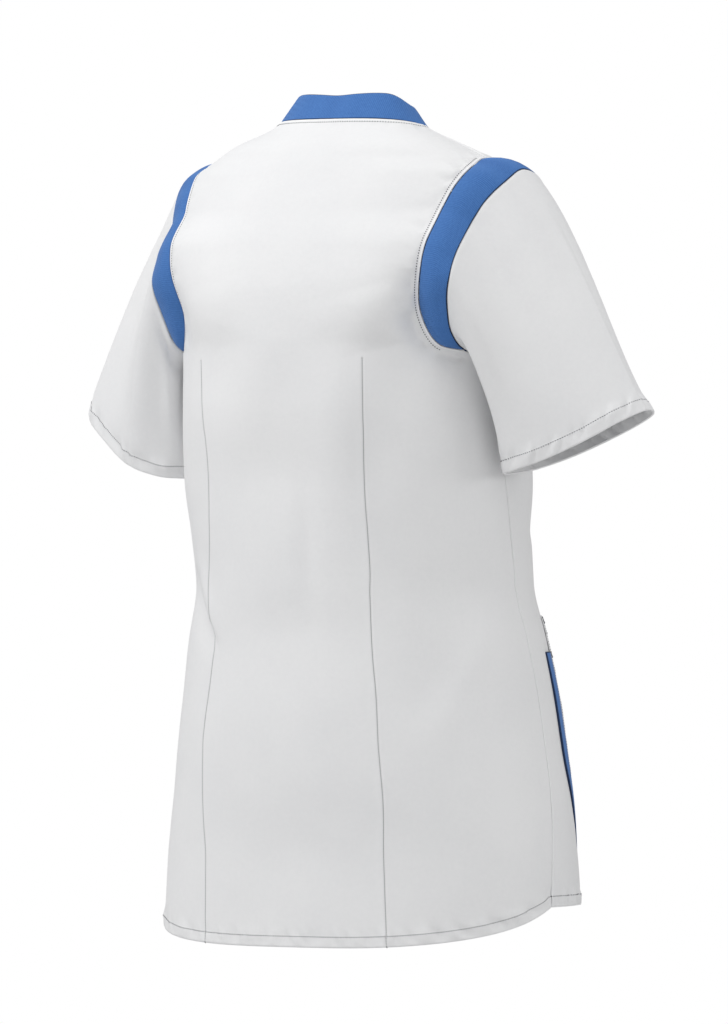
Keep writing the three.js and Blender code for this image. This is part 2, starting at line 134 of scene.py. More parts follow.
# Behind each arm the cloth turns in towards the armhole: where that hollow is deepest, how far it
# reaches round the body (degrees) and up it, and its depth.
ARMPIT_ANGLE = 68
ARMPIT_Z = -163
ARMPIT_REACH = 14
ARMPIT_HEIGHT = 25.5
ARMPIT_DEPTH = 13.4

# The left armhole as one loop: where the body's edge lies (degrees from centre back, and height)
# and how far from it the sleeve's edge is. The knit insert fills the gap.
# Columns: angle, z, reach_x, reach_y, reach_z.
ARMHOLE = {
    "underarm": (90, -UNDERARM_DROP, 0, 0, 0),
    "front_tip": (106, -205, 0, 0, 0),
    "front_curl": (114, -192, 12, -3.5, -1),
    "front_low": (119, -176, 24, -6, -2.5),
    "front_in": (121, -150, 29, -3, -3.5),
    "front_mid": (119, -124, 28.5, 1.5, -6),
    "front_up": (115, -95, 27, 1, -9),
    "front_cap": (109, -66, 28, -5, -10),
    "front_top": (101, -42, 31, -10, -9.5),
    "shoulder": (90, -SHOULDER_DROP, 34, -9, -9.5),
    "back_top": (79.6, -38.8, 29, -10.5, -13.5),
    "back_cap": (73, -55.8, 26, -11, -13.5),
    "back_up": (67.8, -81.5, 24, -13, -10.5),
    "back_mid": (62.2, -109, 24.5, -12.5, -8.5),
    "back_in": (60.2, -139, 28, -5, -3),
    "back_low": (61.6, -169.2, 28, -1, 4.5),
    "back_curl": (66.7, -196.5, 15.5, -0.5, 8),
    "back_tip": (77, -203.5, 0, 0, 0),
}
FRONT_TIP = 1
SHOULDER_STATION = 9
BACK_TIP = 17
LOOP_END = 18
ARMHOLE_MIDDLE = np.array((130.0, 12.0, -122.0))

# The left sleeve's hem ring: its middle, and from there its outermost and its rearmost point.
HEM_MIDDLE = np.array((238.0, -9.5, -286.0))
HEM_OUTWARD = np.array((66.0, -10.5, 30.5))
HEM_BACKWARD = np.array((-8.0, 44.0, -12.5))

# The length that the sleeve's rows are spaced over; then the length, and the millimetres to a
# degree, that its table of folds is scaled by.
SLEEVE_LENGTH = 225
FOLD_LENGTH = 210
FOLD_GIRTH = 1.05

# How the sleeve leaves its seam: part of the way from straight across it to its own fall, a
# little full, and under the arm, where the insert is narrow, in a direction of its own.
SLEEVE_FALL = 0.8
SLEEVE_FULLNESS = 1.08
NARROW_INSERT = 26
UNDERSIDE = {"left": (0.40, 0.10, -0.90), "right": (1.32, -0.45, -0.16)}

# How far the hem drops below its ring every 30 degrees, from the outermost point to the back.
HEM_DROP = {
    "left": (-3.4, -2.6, -1.6, 3.8, 1.6, -2.4, -2.0, -0.6, -0.6, -0.8, -1.4, -2.4),
    "right": (0.4, 0.2, 2.6, 1.6, -2.8, -5.8, -3.5, 2.2, 6.0, 7.0, 6.4, 4.4),
}

# How far the collar's free edge stands from its seam. Station 0 is centre front, 1 is the side of
# the neck and 2 is centre back.
# Columns: station, in_x, back_y, up_z.
COLLAR_LEAN = {
    "centre_front": (0, 0, 12, 42),
    "chest": (0.3, -21, 6, 17),
    "throat": (0.6, -22.5, 6, 12),
    "neck_front": (0.85, -16.5, 1, 15.5),
    "neck_side": (1, -16, -4.5, 18.5),
    "neck_back": (1.35, -7, -16, 24.5),
    "back_side": (1.65, -3, -17, 23.6),
    "centre_back": (2, 0, -18, 22.4),
    "past_centre": (2.35, 3, -17, 23.6),
}

# The fitting darts: height, and degrees from the panel's own middle.
DARTS = {
    "back_left": (
        (-745, 42.0), (-650, 38.6), (-590, 37.6), (-548, 37.2), (-504, 34.4), (-470, 33.2),
        (-442, 34.8), (-410, 36.0), (-374, 35.6), (-323, 36.6), (-282, 37.2), (-211, 41.2),
    ),
    "back_right": (
        (-745, 42.0), (-646, 38.2), (-554, 35.2), (-485, 34.2), (-416, 33.8), (-346, 36.0),
        (-277, 38.6), (-210, 40.0),
    ),
    "front_left": ((-720, 43.0), (-560, 39.0), (-420, 36.0), (-340, 37.0), (-262, 40.0)),
    "front_right": ((-720, 43.0), (-560, 39.5), (-420, 36.5), (-340, 36.0), (-262, 39.0)),
}

# Soft folds of the back and the front, each a ridge (height over 0) or a trough, from one point
# to another: millimetres round the body from the panel's middle, towards the wearer's left, and
# height. The lean makes one flank steeper than the other.
# Columns: a0, z0, a1, z1, width, height, lean.
BACK_FOLDS = {
    "blade_right": (-98, -146, -112, -200, 34, 5.0, 0),
    "ridge_right": (-76, -196, -66, -330, 26, 3.4, 0),
    "middle_hollow": (-10, -190, -12, -310, 28, -2.6, 0),
    "under_blade_right": (-120, -225, -104, -310, 26, -2.6, 0),
    "armpit_right_high": (-126, -165, -146, -196, 13, -5.0, 0),
    "armpit_right_low": (-143, -193, -190, -216, 13, -5.5, 0.2),
    "blade_left": (70, -140, 58, -200, 32, 2.0, 0),
    "left_hollow": (52, -180, 66, -250, 24, -2.2, 0),
    "armpit_left": (120, -160, 132, -200, 12, -2.5, 0),
    "small_of_back": (-28, -300, -30, -452, 12, -1.6, 0),
    "small_of_back_side": (-8, -330, -16, -420, 14, 0.8, 0),
    "waist_right": (-204, -388, -132, -520, 26, -3.6, 0.4),
    "waist_right_above": (-190, -340, -110, -440, 30, 1.4, 0),
    "waist_left": (126, -404, 86, -462, 9, -5.0, 0.9),
    "waist_left_lip": (112, -396, 80, -452, 10, 2.6, 0),
    "hip_left": (84, -470, 100, -560, 12, -1.6, 0),
    "seat": (20, -560, -90, -590, 30, 1.2, 0),
    "under_seat": (60, -640, -60, -660, 36, -1.2, 0),
}
FRONT_FOLDS = {
    "waist_right": (-160, -362, -110, -380, 14, -4.0, 0.6),
    "waist_left": (158, -372, 104, -398, 14, -3.6, 0.6),
    "bust_right": (-150, -262, -88, -238, 22, -2.2, 0),
    "bust_left": (152, -258, 90, -240, 22, -2.0, 0),
    "middle_drag": (-14, -262, 10, -350, 18, -1.6, 0),
    "waist_middle": (22, -330, 34, -430, 16, -1.4, 0),
    "skirt_right": (-60, -470, -72, -640, 22, -1.6, 0),
    "skirt_left": (66, -460, 84, -650, 24, -1.5, 0),
    "shoulder_left": (110, -92, 70, -160, 16, -1.4, 0),
    "shoulder_right": (-112, -96, -66, -150, 16, -1.6, 0),
    "hem_flare_right": (-176, -640, -182, -775, 30, 4.5, 0),
    "hem_flare_left": (176, -650, 180, -775, 30, 3.0, 0),
}

# Soft folds of the sleeves: degrees round the sleeve from its outermost point towards the back,
# and the share of the way down, at both ends; then width, height and lean.
# Columns: turn0, down0, turn1, down1, width, height, lean.
SLEEVE_FOLDS = {
    "left": {
        "under_band": (122, 0.05, 158, 0.16, 15, -4.5, 0),
        "back_ridge": (88, 0.15, 96, 0.95, 15, 3.2, 0),
        "back_plane": (126, 0.25, 128, 0.95, 22, -2.6, 0),
        "outer_edge": (20, 0.3, 24, 1.25, 26, 6.0, 0),
        "front_fall": (238, 0.2, 232, 0.8, 16, -2.4, 0),
        "front_outer": (300, 0.25, 292, 0.9, 20, 1.6, 0),
    },
    "right": {
        "under_band": (152, -0.02, 146, 0.3, 14, -6.0, 0.2),
        "outer_edge": (345, 0.3, 341, 1.3, 32, -5.5, 0),
        "back_fall": (96, 0.35, 104, 0.85, 20, -2.0, 0),
        "outer_ridge": (50, 0.2, 60, 0.9, 22, 1.4, 0),
        "front_fall": (226, 0.15, 236, 0.85, 18, -2.6, 0),
        "front_outer": (288, 0.2, 300, 0.9, 20, 1.6, 0),
    },
}

# The inner face of a doubled hem, in layers of cloth from the outer one.
INNER_FACE = 1.9

# The length, width and height of a stitch, and of a bar tack's close ones, with their pitch.
STITCH = (1.5, 1.05, 0.45)
BARTACK_STITCH = (0.5, 2.0, 1.0)
BARTACK_PITCH = 0.45

# The camera's side of the tunic, in degrees from its front, and where it aims, in metres: to the
# right of the origin and above it.
CAMERA_AZIMUTH = 215
CAMERA_AIM = (0.00855, -0.3465)

# The soft studio lights, from the camera's side: how far out, to the right and up, and watts.
# Columns: out, right, up, watts.
LIGHTS = {
    "left": (0.2, -0.8, 0.6, 49),
    "top": (0.3, -0.1, 0.95, 27.5),
    "right": (0.3, 1.0, 0.3, 21.5),
    "front_high": (0.75, 0.0, 0.7, 12),
    "front": (1.0, 0.0, 0.2, 6.6),
}
LIGHT_DISTANCE = 3.5
LIGHT_SIZE = 1.8
SKYLIGHT = 0.45


# ---- What a user may change


def size_in_metres(name, description, default):
    return FloatProperty(name=name, description=description, default=default, unit="LENGTH")


class TunicSizes(bpy.types.PropertyGroup):
    cloth: size_in_metres("Cloth", "Thickness of one layer of cloth", 0.0010)
    knit: size_in_metres("Knit", "Thickness of the doubled rib knit", 0.0018)
    rib: size_in_metres("Rib", "From one knit rib to the next", 0.00185)
    rib_height: size_in_metres("Rib height", "How far a rib stands up", 0.00017)
    topstitch: size_in_metres("Topstitch", "Topstitching to its seam", 0.0037)
    hem: size_in_metres("Hem", "Depth of the turned-up hem", 0.0098)
    sleeve_hem: size_in_metres("Sleeve hem", "Depth of the sleeve's hem", 0.0115)
    stitch: size_in_metres("Stitch", "From one stitch to the next", 0.0024)
    floor_drop: size_in_metres("Floor", "Neck above the floor", 1.42)
    camera_distance: size_in_metres("Camera", "Camera to the tunic", 10.0)
    picture_height: size_in_metres("Picture", "Height that the picture takes in", 0.9216)


def colour(name, description, default):
    return FloatVectorProperty(
        name=name, description=description, default=default, subtype="COLOR", size=3, min=0, max=1
    )


class TunicColours(bpy.types.PropertyGroup):
    cloth: colour("Cloth", "The white cloth", (0.83, 0.832, 0.838))
    cloth_shade: colour("Cloth shade", "The white cloth's cooler patches", (0.79, 0.793, 0.803))
    # The cloth roll colour is a painted highlight: a brighter white along the cloth rolled over
    # the armhole and neck seams.
    cloth_roll_highlight: colour("Cloth roll", "The cloth pressed over its seams", (0.97, 0.97, 0.97))
    # The two knit blues are painted light and shade: the ribs' crests lighter, the channels
    # between them darker.
    knit: colour("Knit", "The blue knit's ribs", (0.090, 0.238, 0.575))
    knit_shade: colour("Knit shade", "Between the blue knit's ribs", (0.026, 0.102, 0.33))
    # The knit edge colour is painted shade: the knit's edge turning into its seam, in shadow.
    knit_edge_shade: colour("Knit edge", "Where the knit turns into its seams", (0.012, 0.03, 0.085))
    # The thread colour is painted shade: white thread darkened for the shadowed needle holes that
    # it dives into.
    painted_shade_thread: colour("Thread", "The stitching", (0.16, 0.165, 0.18))
    floor: colour("Floor", "The studio floor", (0.80, 0.80, 0.80))


# ---- Curves and forms, in millimetres


def smooth(x):
    x = np.clip(x, 0, 1)
    return x * x * (3 - 2 * x)


def bell(x, middle, width):
    return np.exp(-(((x - middle) / width) ** 2))


def mix(start, end, share):
    return start + (end - start) * share


def unit(vectors):
    return vectors / np.maximum(np.linalg.norm(vectors, axis=-1, keepdims=True), 1e-9)


def slopes(x, y):
    """Slopes of a curve through points that never overshoots them."""
    step = np.diff(x)
    rise = np.diff(y) / step
    inner = np.zeros(len(x) - 2)
    for i in range(len(inner)):
        if rise[i] * rise[i + 1] > 0:
            before = 2 * step[i + 1] + step[i]
            after = step[i + 1] + 2 * step[i]
            inner[i] = (before + after) / (before / rise[i] + after / rise[i + 1])
    return np.concatenate(([rise[0]], inner, [rise[-1]]))


def smooth_table(rows):
    """A smooth function of a table's first column, which gives the other columns."""
    data = np.array(list(rows), float)
    x = data[:, 0]
    slope = np.stack([slopes(x, data[:, k]) for k in range(1, data.shape[1])], axis=1)

    def value(place):
        place = np.clip(place, x[0], x[-1])
        i = np.clip(np.searchsorted(x, place) - 1, 0, len(x) - 2)
        step = (x[i + 1] - x[i])[..., None]
        t = (place - x[i])[..., None] / step
        near = data[i, 1:] * (2 * t**3 - 3 * t**2 + 1) + slope[i] * step * (t**3 - 2 * t**2 + t)
        far = data[i + 1, 1:] * (3 * t**2 - 2 * t**3) + slope[i + 1] * step * (t**3 - t**2)
        return near + far

    return value


section_at = smooth_table(SECTIONS.values())
lean_at = smooth_table(COLLAR_LEAN.values())


def torso_point(angle, z):
    """A point of the torso's outer face: the angle is in degrees from centre back to the left."""
    half_width, side_y, back_y, front_y, back_square, front_square = np.moveaxis(
        section_at(z), -1, 0
    )
    across = np.sin(np.radians(angle))
    deep = np.cos(np.radians(angle))
    depth = np.where(deep >= 0, back_y - side_y, side_y - front_y)
    square = np.where(deep >= 0, back_square, front_square)
    wide = (np.abs(across) / half_width) ** square
    reach = (wide + (np.abs(deep) / depth) ** square) ** (-1 / square)
    aside = (np.abs(angle) - ARMPIT_ANGLE) / ARMPIT_REACH
    reach = reach - ARMPIT_DEPTH * np.exp(-(aside**2) - ((z - ARMPIT_Z) / ARMPIT_HEIGHT) ** 2)
    return np.stack([reach * across, side_y + reach * deep, z + 0 * reach], axis=-1)


def loop_values(rows, place):
    """A smooth closed curve through evenly spaced rows, at row numbers that may be fractions."""
    rows = np.array(rows, float)
    first = np.floor(place).astype(int)
    t = place - first
    if rows.ndim > 1:
        t = t[..., None]
    a, b, c, d = (rows[(first + k) % len(rows)] for k in (-1, 0, 1, 2))
    return b + 0.5 * t * (c - a + t * (2 * a - 5 * b + 4 * c - d + t * (3 * (b - c) + d - a)))


def armhole_at(place):
    """The armhole at places round its loop: the body's edge, the sleeve's edge, the direction
    across the seam, and the direction in which the cloth's thickness goes there."""
    angle, z, *reach = np.moveaxis(loop_values(list(ARMHOLE.values()), place), -1, 0)
    joined = (place < FRONT_TIP) | (place > BACK_TIP)
    reach = np.where(joined[..., None], 0.0, np.stack(reach, axis=-1))
    body = torso_point(angle, z)
    across = unit(reach + np.array((1.0, 0.0, -0.3)))
    inward = unit(ARMHOLE_MIDDLE - body)
    return {
        "angle": angle,
        "z": z,
        "body": body,
        "sleeve": body + reach,
        "across": across,
        "inward": inward,
        "width": np.linalg.norm(reach, axis=-1),
    }


def neck_table():
    """The V neck's edge, from the V's point to the side of the neck: share, angle and height."""
    share = np.linspace(0, 1, 201)
    z = -V_NECK_DEPTH * (1 - share)
    x = NECK_HALF_WIDTH * (1 - (1 - share) ** V_NECK_CURVE)
    near = np.full_like(share, 90.0)
    far = np.full_like(share, 180.0)
    for _ in range(40):
        middle = (near + far) / 2
        wide = torso_point(middle, z)[:, 0] > x
        near = np.where(wide, middle, near)
        far = np.where(wide, far, middle)
    return share, (near + far) / 2, z


NECK_SHARE, NECK_ANGLE, NECK_Z = neck_table()


def back_neck_edge(angle):
    return BACK_NECK_RISE * (1 - (np.abs(angle) / 90) ** 5)


def hem_height(angle, length, back):
    """The hem's height at an angle, in degrees from the panel's middle."""
    share = (angle / 90) ** HEM_CURVE if back else smooth(angle / FRONT_HEM_TURN)
    return -length + (length - SIDE_LENGTH) * share


def spaced(length, gaps, marks):
    """Places from 0 to a length, close together at the marks and further apart between them."""
    fine, coarse = gaps
    places = [0.0]
    while places[-1] < length:
        gap = min(abs(places[-1] - mark) for mark in marks)
        places.append(places[-1] + min(coarse, fine + SPREAD * gap))
    return np.array(places) * (length / places[-1])


def grid_lengths(points, axis):
    """How far along its row (axis 1) or its column (axis 0) each point of a grid is."""
    first = points[:, :1] if axis else points[:1]
    return np.cumsum(np.linalg.norm(np.diff(points, axis=axis, prepend=first), axis=-1), axis)


def lengths(points):
    """How far along a line of points each of them is."""
    steps = np.linalg.norm(np.diff(points, axis=0), axis=-1)
    return np.concatenate(([0.0], np.cumsum(steps)))


def resampled(line, pitch):
    """The same line with its points a pitch apart, and the distance along it of each."""
    along = lengths(line)
    marks = np.linspace(0, along[-1], max(2, int(round(along[-1] / pitch)) + 1))
    points = np.stack([np.interp(marks, along, line[:, k]) for k in range(3)], axis=-1)
    return points, marks


def normals(points, closed=False):
    """The outward direction at each point of a grid, whose rows may be closed rings."""
    if closed:
        ring = np.concatenate((points[:, -2:-1], points, points[:, 1:2]), axis=1)
        along = ring[:, 2:] - ring[:, :-2]
    else:
        along = np.gradient(points, axis=1)
    return unit(np.cross(along, np.gradient(points, axis=0)))


def near_line(points, line, reach):
    """How far points are from a line, and how far along the line they are. Past the reach, only
    the distance counts, and it is large."""
    line, marks = resampled(line, 0.5)
    tree = KDTree(len(line))
    for i, point in enumerate(line):
        tree.insert(point, i)
    tree.balance()
    flat = points.reshape(-1, 3)
    low = line.min(axis=0) - reach
    high = line.max(axis=0) + reach
    distance = np.full(len(flat), 1000.0)
    along = np.zeros(len(flat))
    for i in np.flatnonzero(np.all((flat > low) & (flat < high), axis=1)):
        _, index, gap = tree.find(flat[i])
        distance[i] = gap
        along[i] = marks[index]
    return distance.reshape(points.shape[:2]), along.reshape(points.shape[:2])


def ripple(along, across, period, seed, where):
    """Uneven waves, from -1 to 1, where a mask says so."""
    out = np.zeros(along.shape)
    for at in zip(*np.nonzero(where)):
        out[at] = noise.noise((along[at] / period, across[at] / period, seed * 7.3))
    return out * 1.6


def lumps(points, size, seed):
    """Soft unevenness all over a piece, from -1 to 1."""
    flat = points.reshape(-1, 3) / size
    value = [noise.noise((x, y, z + seed * 5.1)) for x, y, z in flat]
    return np.array(value).reshape(points.shape[:2])


def seam_form(gap, along, seed, stitched, pucker, reach):
    """A topstitched seam: its edge turned in, a narrow roll, the sunk stitches, the allowance
    underneath, and puckers that fan out from it."""
    form = 0.45 * bell(gap, 1.0, 0.7) - 0.8 * (1 - smooth(gap / 0.5))
    form += 0.3 * bell(gap, 0, 8) - 0.15 * bell(gap, stitched, 0.6)
    fan = smooth((gap - 3.0) / 5) * np.exp(-((np.maximum(gap - stitched, 0) / reach) ** 1.5))
    return form + pucker * fan * ripple(along, gap * 0.2, 6.5, seed, fan > 0.02)


def plain_seam(gap, along, seed, pucker):
    """A seam with no topstitching: its edge turned in, and a low swelling beside it."""
    form = 0.25 * bell(gap, 2.2, 2.2) - 1.2 * (1 - smooth(gap / 1.0))
    fan = bell(gap, 4, 6)
    return form + pucker * fan * ripple(along, gap * 0.3, 14.0, seed, fan > 0.02)


def hem_form(gap, along, depth, seed, pucker):
    """A turned-up hem: the doubled cloth, the sunk stitches at its depth, and slanting puckers."""
    form = 0.35 * (1 - smooth((gap - depth + 0.5) / 1.5)) - 0.6 * (1 - smooth(gap / 1.0))
    form -= 0.04 * bell(gap, depth, 0.8)
    fan = bell(gap, 0.8 * depth, 7.5) * smooth(gap / 3 + 0.35)
    return form + pucker * fan * ripple(along + 0.5 * gap, gap * 0.25, 7.0, seed, fan > 0.02)


def dart_form(gap, along, seed):
    """A dart's seam: a narrow channel between two low rolls, with a few shallow puckers."""
    form = 0.25 * bell(gap, 2.2, 1.8) - 0.03 * bell(gap, 0, 0.8)
    fan = bell(gap, 2, 6)
    return form + 0.22 * fan * ripple(along, gap * 0.3, 18.0, seed, fan > 0.02)


def fold_form(across, down, rows):
    """The soft folds of a table, on a piece's own two distances in millimetres."""
    form = np.zeros(across.shape)
    for a0, d0, a1, d1, width, height, lean in rows:
        length = math.hypot(a1 - a0, d1 - d0)
        ua, ud = (a1 - a0) / length, (d1 - d0) / length
        along = (across - a0) * ua + (down - d0) * ud
        side = (across - a0) * ud - (down - d0) * ua
        middle = np.clip(along / length, 0, 1)
        past = np.maximum(np.maximum(-along, along - length), 0)
        taper = np.sin(np.pi * mix(0.12, 0.88, middle)) * bell(past, 0, 0.8 * width)
        form += height * taper * bell(side, 0, width * (1 - lean * np.tanh(side / width)))
    return form


# ---- Meshes


def mesh_from(bm, name):
    mesh = bpy.data.meshes.new(name)
    bm.to_mesh(mesh)
    bm.free()
    return mesh


def add_object(name, data):
    obj = bpy.data.objects.new(name, data)
    bpy.context.collection.objects.link(obj)
    return obj


def hem_layers(gap, depth):
    """The share of two layers of cloth: both in the turned-up hem, and one above it."""
    return 0.5 + 0.5 * (1 - smooth((gap - depth) / 1.2))


def cloth_sheet(name, points, material, wall, closed=False, thick=None, marks=None):
    """A sheet of cloth: a grid moved to its points (rows by columns, in millimetres), with the
    cloth's own measure as its UV map, and a wall that goes inwards. Thick is the share of the
    wall at each point, and marks are other values at each point, for its finish."""
    rows, columns = points.shape[0] - 1, points.shape[1] - 1
    bm = bmesh.new()
    bm.loops.layers.uv.new("UVMap")
    bmesh.ops.create_grid(bm, x_segments=columns, y_segments=rows, size=0.5, calc_uvs=True)
    mesh = mesh_from(bm, name)
    corner = np.empty(3 * len(mesh.vertices), np.float32)
    mesh.vertices.foreach_get("co", corner)
    column = np.rint((corner[0::3] + 0.5) * columns).astype(int)
    row = np.rint((corner[1::3] + 0.5) * rows).astype(int)
    mesh.vertices.foreach_set("co", (points[row, column] * MM).astype(np.float32).ravel())

    middle = columns // 2
    across = grid_lengths(points, 1)
    across -= across[:, middle : middle + 1]
    up = grid_lengths(points, 0)[:, middle : middle + 1]
    measure = (np.stack([across, up + 0 * across], axis=-1) * MM).astype(np.float32)
    used = np.empty(len(mesh.loops), np.int32)
    mesh.loops.foreach_get("vertex_index", used)
    mesh.uv_layers["UVMap"].data.foreach_set("uv", measure[row, column][used].ravel())
    for mark, values in (marks or {}).items():
        attribute = mesh.attributes.new(mark, "FLOAT", "POINT")
        attribute.data.foreach_set("value", values[row, column].astype(np.float32))

    obj = add_object(name, mesh)
    if thick is not None:
        group = obj.vertex_groups.new(name="thickness")
        levels = np.round(thick[row, column], 2)
        for level in np.unique(levels):
            group.add(np.flatnonzero(levels == level).tolist(), float(level), "REPLACE")
    if closed:
        bm = bmesh.new()
        bm.from_mesh(mesh)
        bmesh.ops.remove_doubles(bm, verts=bm.verts, dist=1e-6)
        bm.to_mesh(mesh)
        bm.free()
    mesh.polygons.foreach_set("use_smooth", [True] * len(mesh.polygons))
    mesh.materials.append(material)
    solid = obj.modifiers.new("wall", "SOLIDIFY")
    solid.thickness = wall
    solid.offset = -1
    if thick is not None:
        solid.vertex_group = "thickness"
    return obj


def surface_of(points):
    """A search tree of a grid's surface, in millimetres."""
    rows, columns = points.shape[:2]
    index = np.arange(rows * columns).reshape(rows, columns)
    quads = np.stack([index[:-1, :-1], index[:-1, 1:], index[1:, 1:], index[1:, :-1]], axis=-1)
    return BVHTree.FromPolygons(points.reshape(-1, 3).tolist(), quads.reshape(-1, 4).tolist())


def beside(surface, line, distance, towards):
    """A line on a surface, at a distance from another one, on the side of a point or points."""
    along = unit(np.gradient(line, axis=0))
    moved = []
    for point, direction, target in zip(line, along, np.broadcast_to(towards, line.shape)):
        _, normal, _, _ = surface.find_nearest(Vector(point))
        side = np.cross(np.array(normal), direction)
        side *= math.copysign(1, float(np.dot(side, target - point)))
        moved.append(point + unit(side) * distance)
    return np.array(moved)


def at_distance(lines, gaps, distance):
    """The points of a grid's lines at one distance from the edge that they all start at."""
    places = []
    for line, gap in zip(lines, gaps):
        far = max(1, int(np.argmax(gap >= distance)))
        part = np.clip((distance - gap[far - 1]) / (gap[far] - gap[far - 1]), 0, 1)
        places.append(mix(line[far - 1], line[far], part))
    return np.array(places)


def one_stitch():
    """The stitch that every seam repeats: a small pill, one unit long, wide and high."""
    bm = bmesh.new()
    bmesh.ops.create_uvsphere(bm, u_segments=6, v_segments=4, radius=0.5)
    return mesh_from(bm, "stitch")


def stitch_lines(name, lines, pitch, size=STITCH):
    """Stitches along lines, each given with the surface that it lies on and which side of it. A
    fifth of each stitch's height is sunk into the cloth."""
    length, width, height = size
    pattern = one_stitch()
    bm = bmesh.new()
    for surface, line, side in lines:
        places, _ = resampled(line, pitch)
        along = unit(np.gradient(places, axis=0))
        for point, direction in zip(places, along):
            found, normal, _, _ = surface.find_nearest(Vector(point))
            normal = normal * side
            run = Vector(direction)
            run = (run - normal * run.dot(normal)).normalized()
            across = normal.cross(run)
            turn = Matrix((run, across, normal)).transposed().to_4x4()
            scale = Matrix.Diagonal((length * MM, width * MM, height * MM, 1))
            place = Matrix.Translation((found + normal * 0.3 * height) * MM)
            stitch = pattern.copy()
            stitch.transform(place @ turn @ scale)
            bm.from_mesh(stitch)
            bpy.data.meshes.remove(stitch)
    bpy.data.meshes.remove(pattern)
    mesh = mesh_from(bm, name)
    mesh.polygons.foreach_set("use_smooth", [True] * len(mesh.polygons))
    mesh.materials.append(finish("thread_with_painted_shade"))
    return settle(add_object(name, mesh), "white_cloth")


# ---- Materials

# In metres: from one twill line and one course of knit loops to the next, and where the painted
# shade along the knit's edges, where it turns into its seams, fades out.
TWILL = 0.00062
KNIT_COURSE = 0.00085
KNIT_EDGE_SHADE = (0.0007, 0.0014)


def new_material(name, roughness, sheen, sheen_roughness):
    material = bpy.data.materials.new(name)
    material.use_nodes = True
    shader = material.node_tree.nodes["Principled BSDF"]
    shader.inputs["Roughness"].default_value = roughness
    shader.inputs["Sheen Weight"].default_value = sheen
    shader.inputs["Sheen Roughness"].default_value = sheen_roughness
    shader.inputs["Specular IOR Level"].default_value = 0.25
    return material, shader


def node(material, kind, settings=None, **inputs):
    """A node with its settings, and its inputs set to values or linked to other nodes' outputs.
    An input may be given by its number, as _0 for the first."""
    made = material.node_tree.nodes.new(kind)
    for key, value in (settings or {}).items():
        setattr(made, key, value)
    for key, value in inputs.items():
        socket = made.inputs[int(key[1:])] if key[1:].isdigit() else made.inputs[key]
        if isinstance(value, bpy.types.NodeSocket):
            material.node_tree.links.new(value, socket)
        else:
            socket.default_value = value
    return made


def calculate(material, operation, a, b=0.0):
    return node(material, "ShaderNodeMath", {"operation": operation}, _0=a, _1=b).outputs[0]


def times(material, a, b):
    return calculate(material, "MULTIPLY", a, b)


def plus(material, a, b):
    return calculate(material, "ADD", a, b)


def noise_at(material, place, scale, detail, roughness):
    """Soft noise from 0 to 1, by a place in metres."""
    return node(
        material, "ShaderNodeTexNoise", Vector=place, Scale=scale, Detail=detail,
        Roughness=roughness,
    ).outputs["Fac"]


def ramp_of(material, value, dark, light, start=0.0, end=1.0):
    """A colour between two others, by a value that runs from the start to the end."""
    ramp = node(material, "ShaderNodeValToRGB", Fac=value)
    for element, place, shade in zip(ramp.color_ramp.elements, (start, end), (dark, light)):
        element.position = place
        element.color = (*shade, 1)
    return ramp.outputs["Color"]


def darker(shade, share):
    return tuple(share * part for part in shade)


def link(material, output, socket):
    material.node_tree.links.new(output, socket)


def cloth_material(colours):
    """White poly-cotton: a close twill, soft slubs, slightly uneven whiteness, a matt sheen, and a
    painted highlight along its seams.
    """
    material, shader = new_material("white_twill", 0.82, 0.12, 0.5)
    uv = node(material, "ShaderNodeUVMap", {"uv_map": "UVMap"}).outputs["UV"]
    turned = node(material, "ShaderNodeMapping", Vector=uv)
    turned.inputs["Rotation"].default_value = (0, 0, math.radians(58))
    across = node(material, "ShaderNodeSeparateXYZ", _0=turned.outputs[0]).outputs[0]
    twill = calculate(material, "SINE", times(material, across, 2 * math.pi / TWILL))
    stretched = node(material, "ShaderNodeMapping", Vector=uv)
    stretched.inputs["Scale"].default_value = (1.0, 0.28, 1.0)
    slub = noise_at(material, stretched.outputs[0], 950.0, 2.0, 0.55)
    place = node(material, "ShaderNodeTexCoord").outputs["Object"]
    patches = noise_at(material, place, 9.0, 3.0, 0.5)
    grain = noise_at(material, place, 260.0, 3.0, 0.6)
    blend = plus(material, times(material, patches, 0.75), times(material, grain, 0.35))
    white = ramp_of(material, blend, colours.cloth_shade, colours.cloth, 0.38, 0.70)
    # Painted highlight: the roll mask mixes in the brighter roll colour along the rolled seam
    # edges.
    roll_highlight = node(material, "ShaderNodeAttribute", {"attribute_name": "roll_highlight"}).outputs["Fac"]
    painted_highlight = node(material, "ShaderNodeMix", {"data_type": "RGBA"}, Factor=roll_highlight)
    painted_highlight.inputs[7].default_value = (*colours.cloth_roll_highlight, 1)
    link(material, white, painted_highlight.inputs[6])
    link(material, painted_highlight.outputs[2], shader.inputs["Base Color"])
    height = plus(material, times(material, twill, 0.35), times(material, slub, 1.1))
    bump = node(material, "ShaderNodeBump", Strength=0.55, Distance=0.00012, Height=height)
    crumple = noise_at(material, place, 95.0, 2.0, 0.5)
    soft = node(
        material, "ShaderNodeBump", Strength=0.25, Distance=0.0008, Height=crumple,
        Normal=bump.outputs["Normal"],
    )
    link(material, soft.outputs["Normal"], shader.inputs["Normal"])
    return material


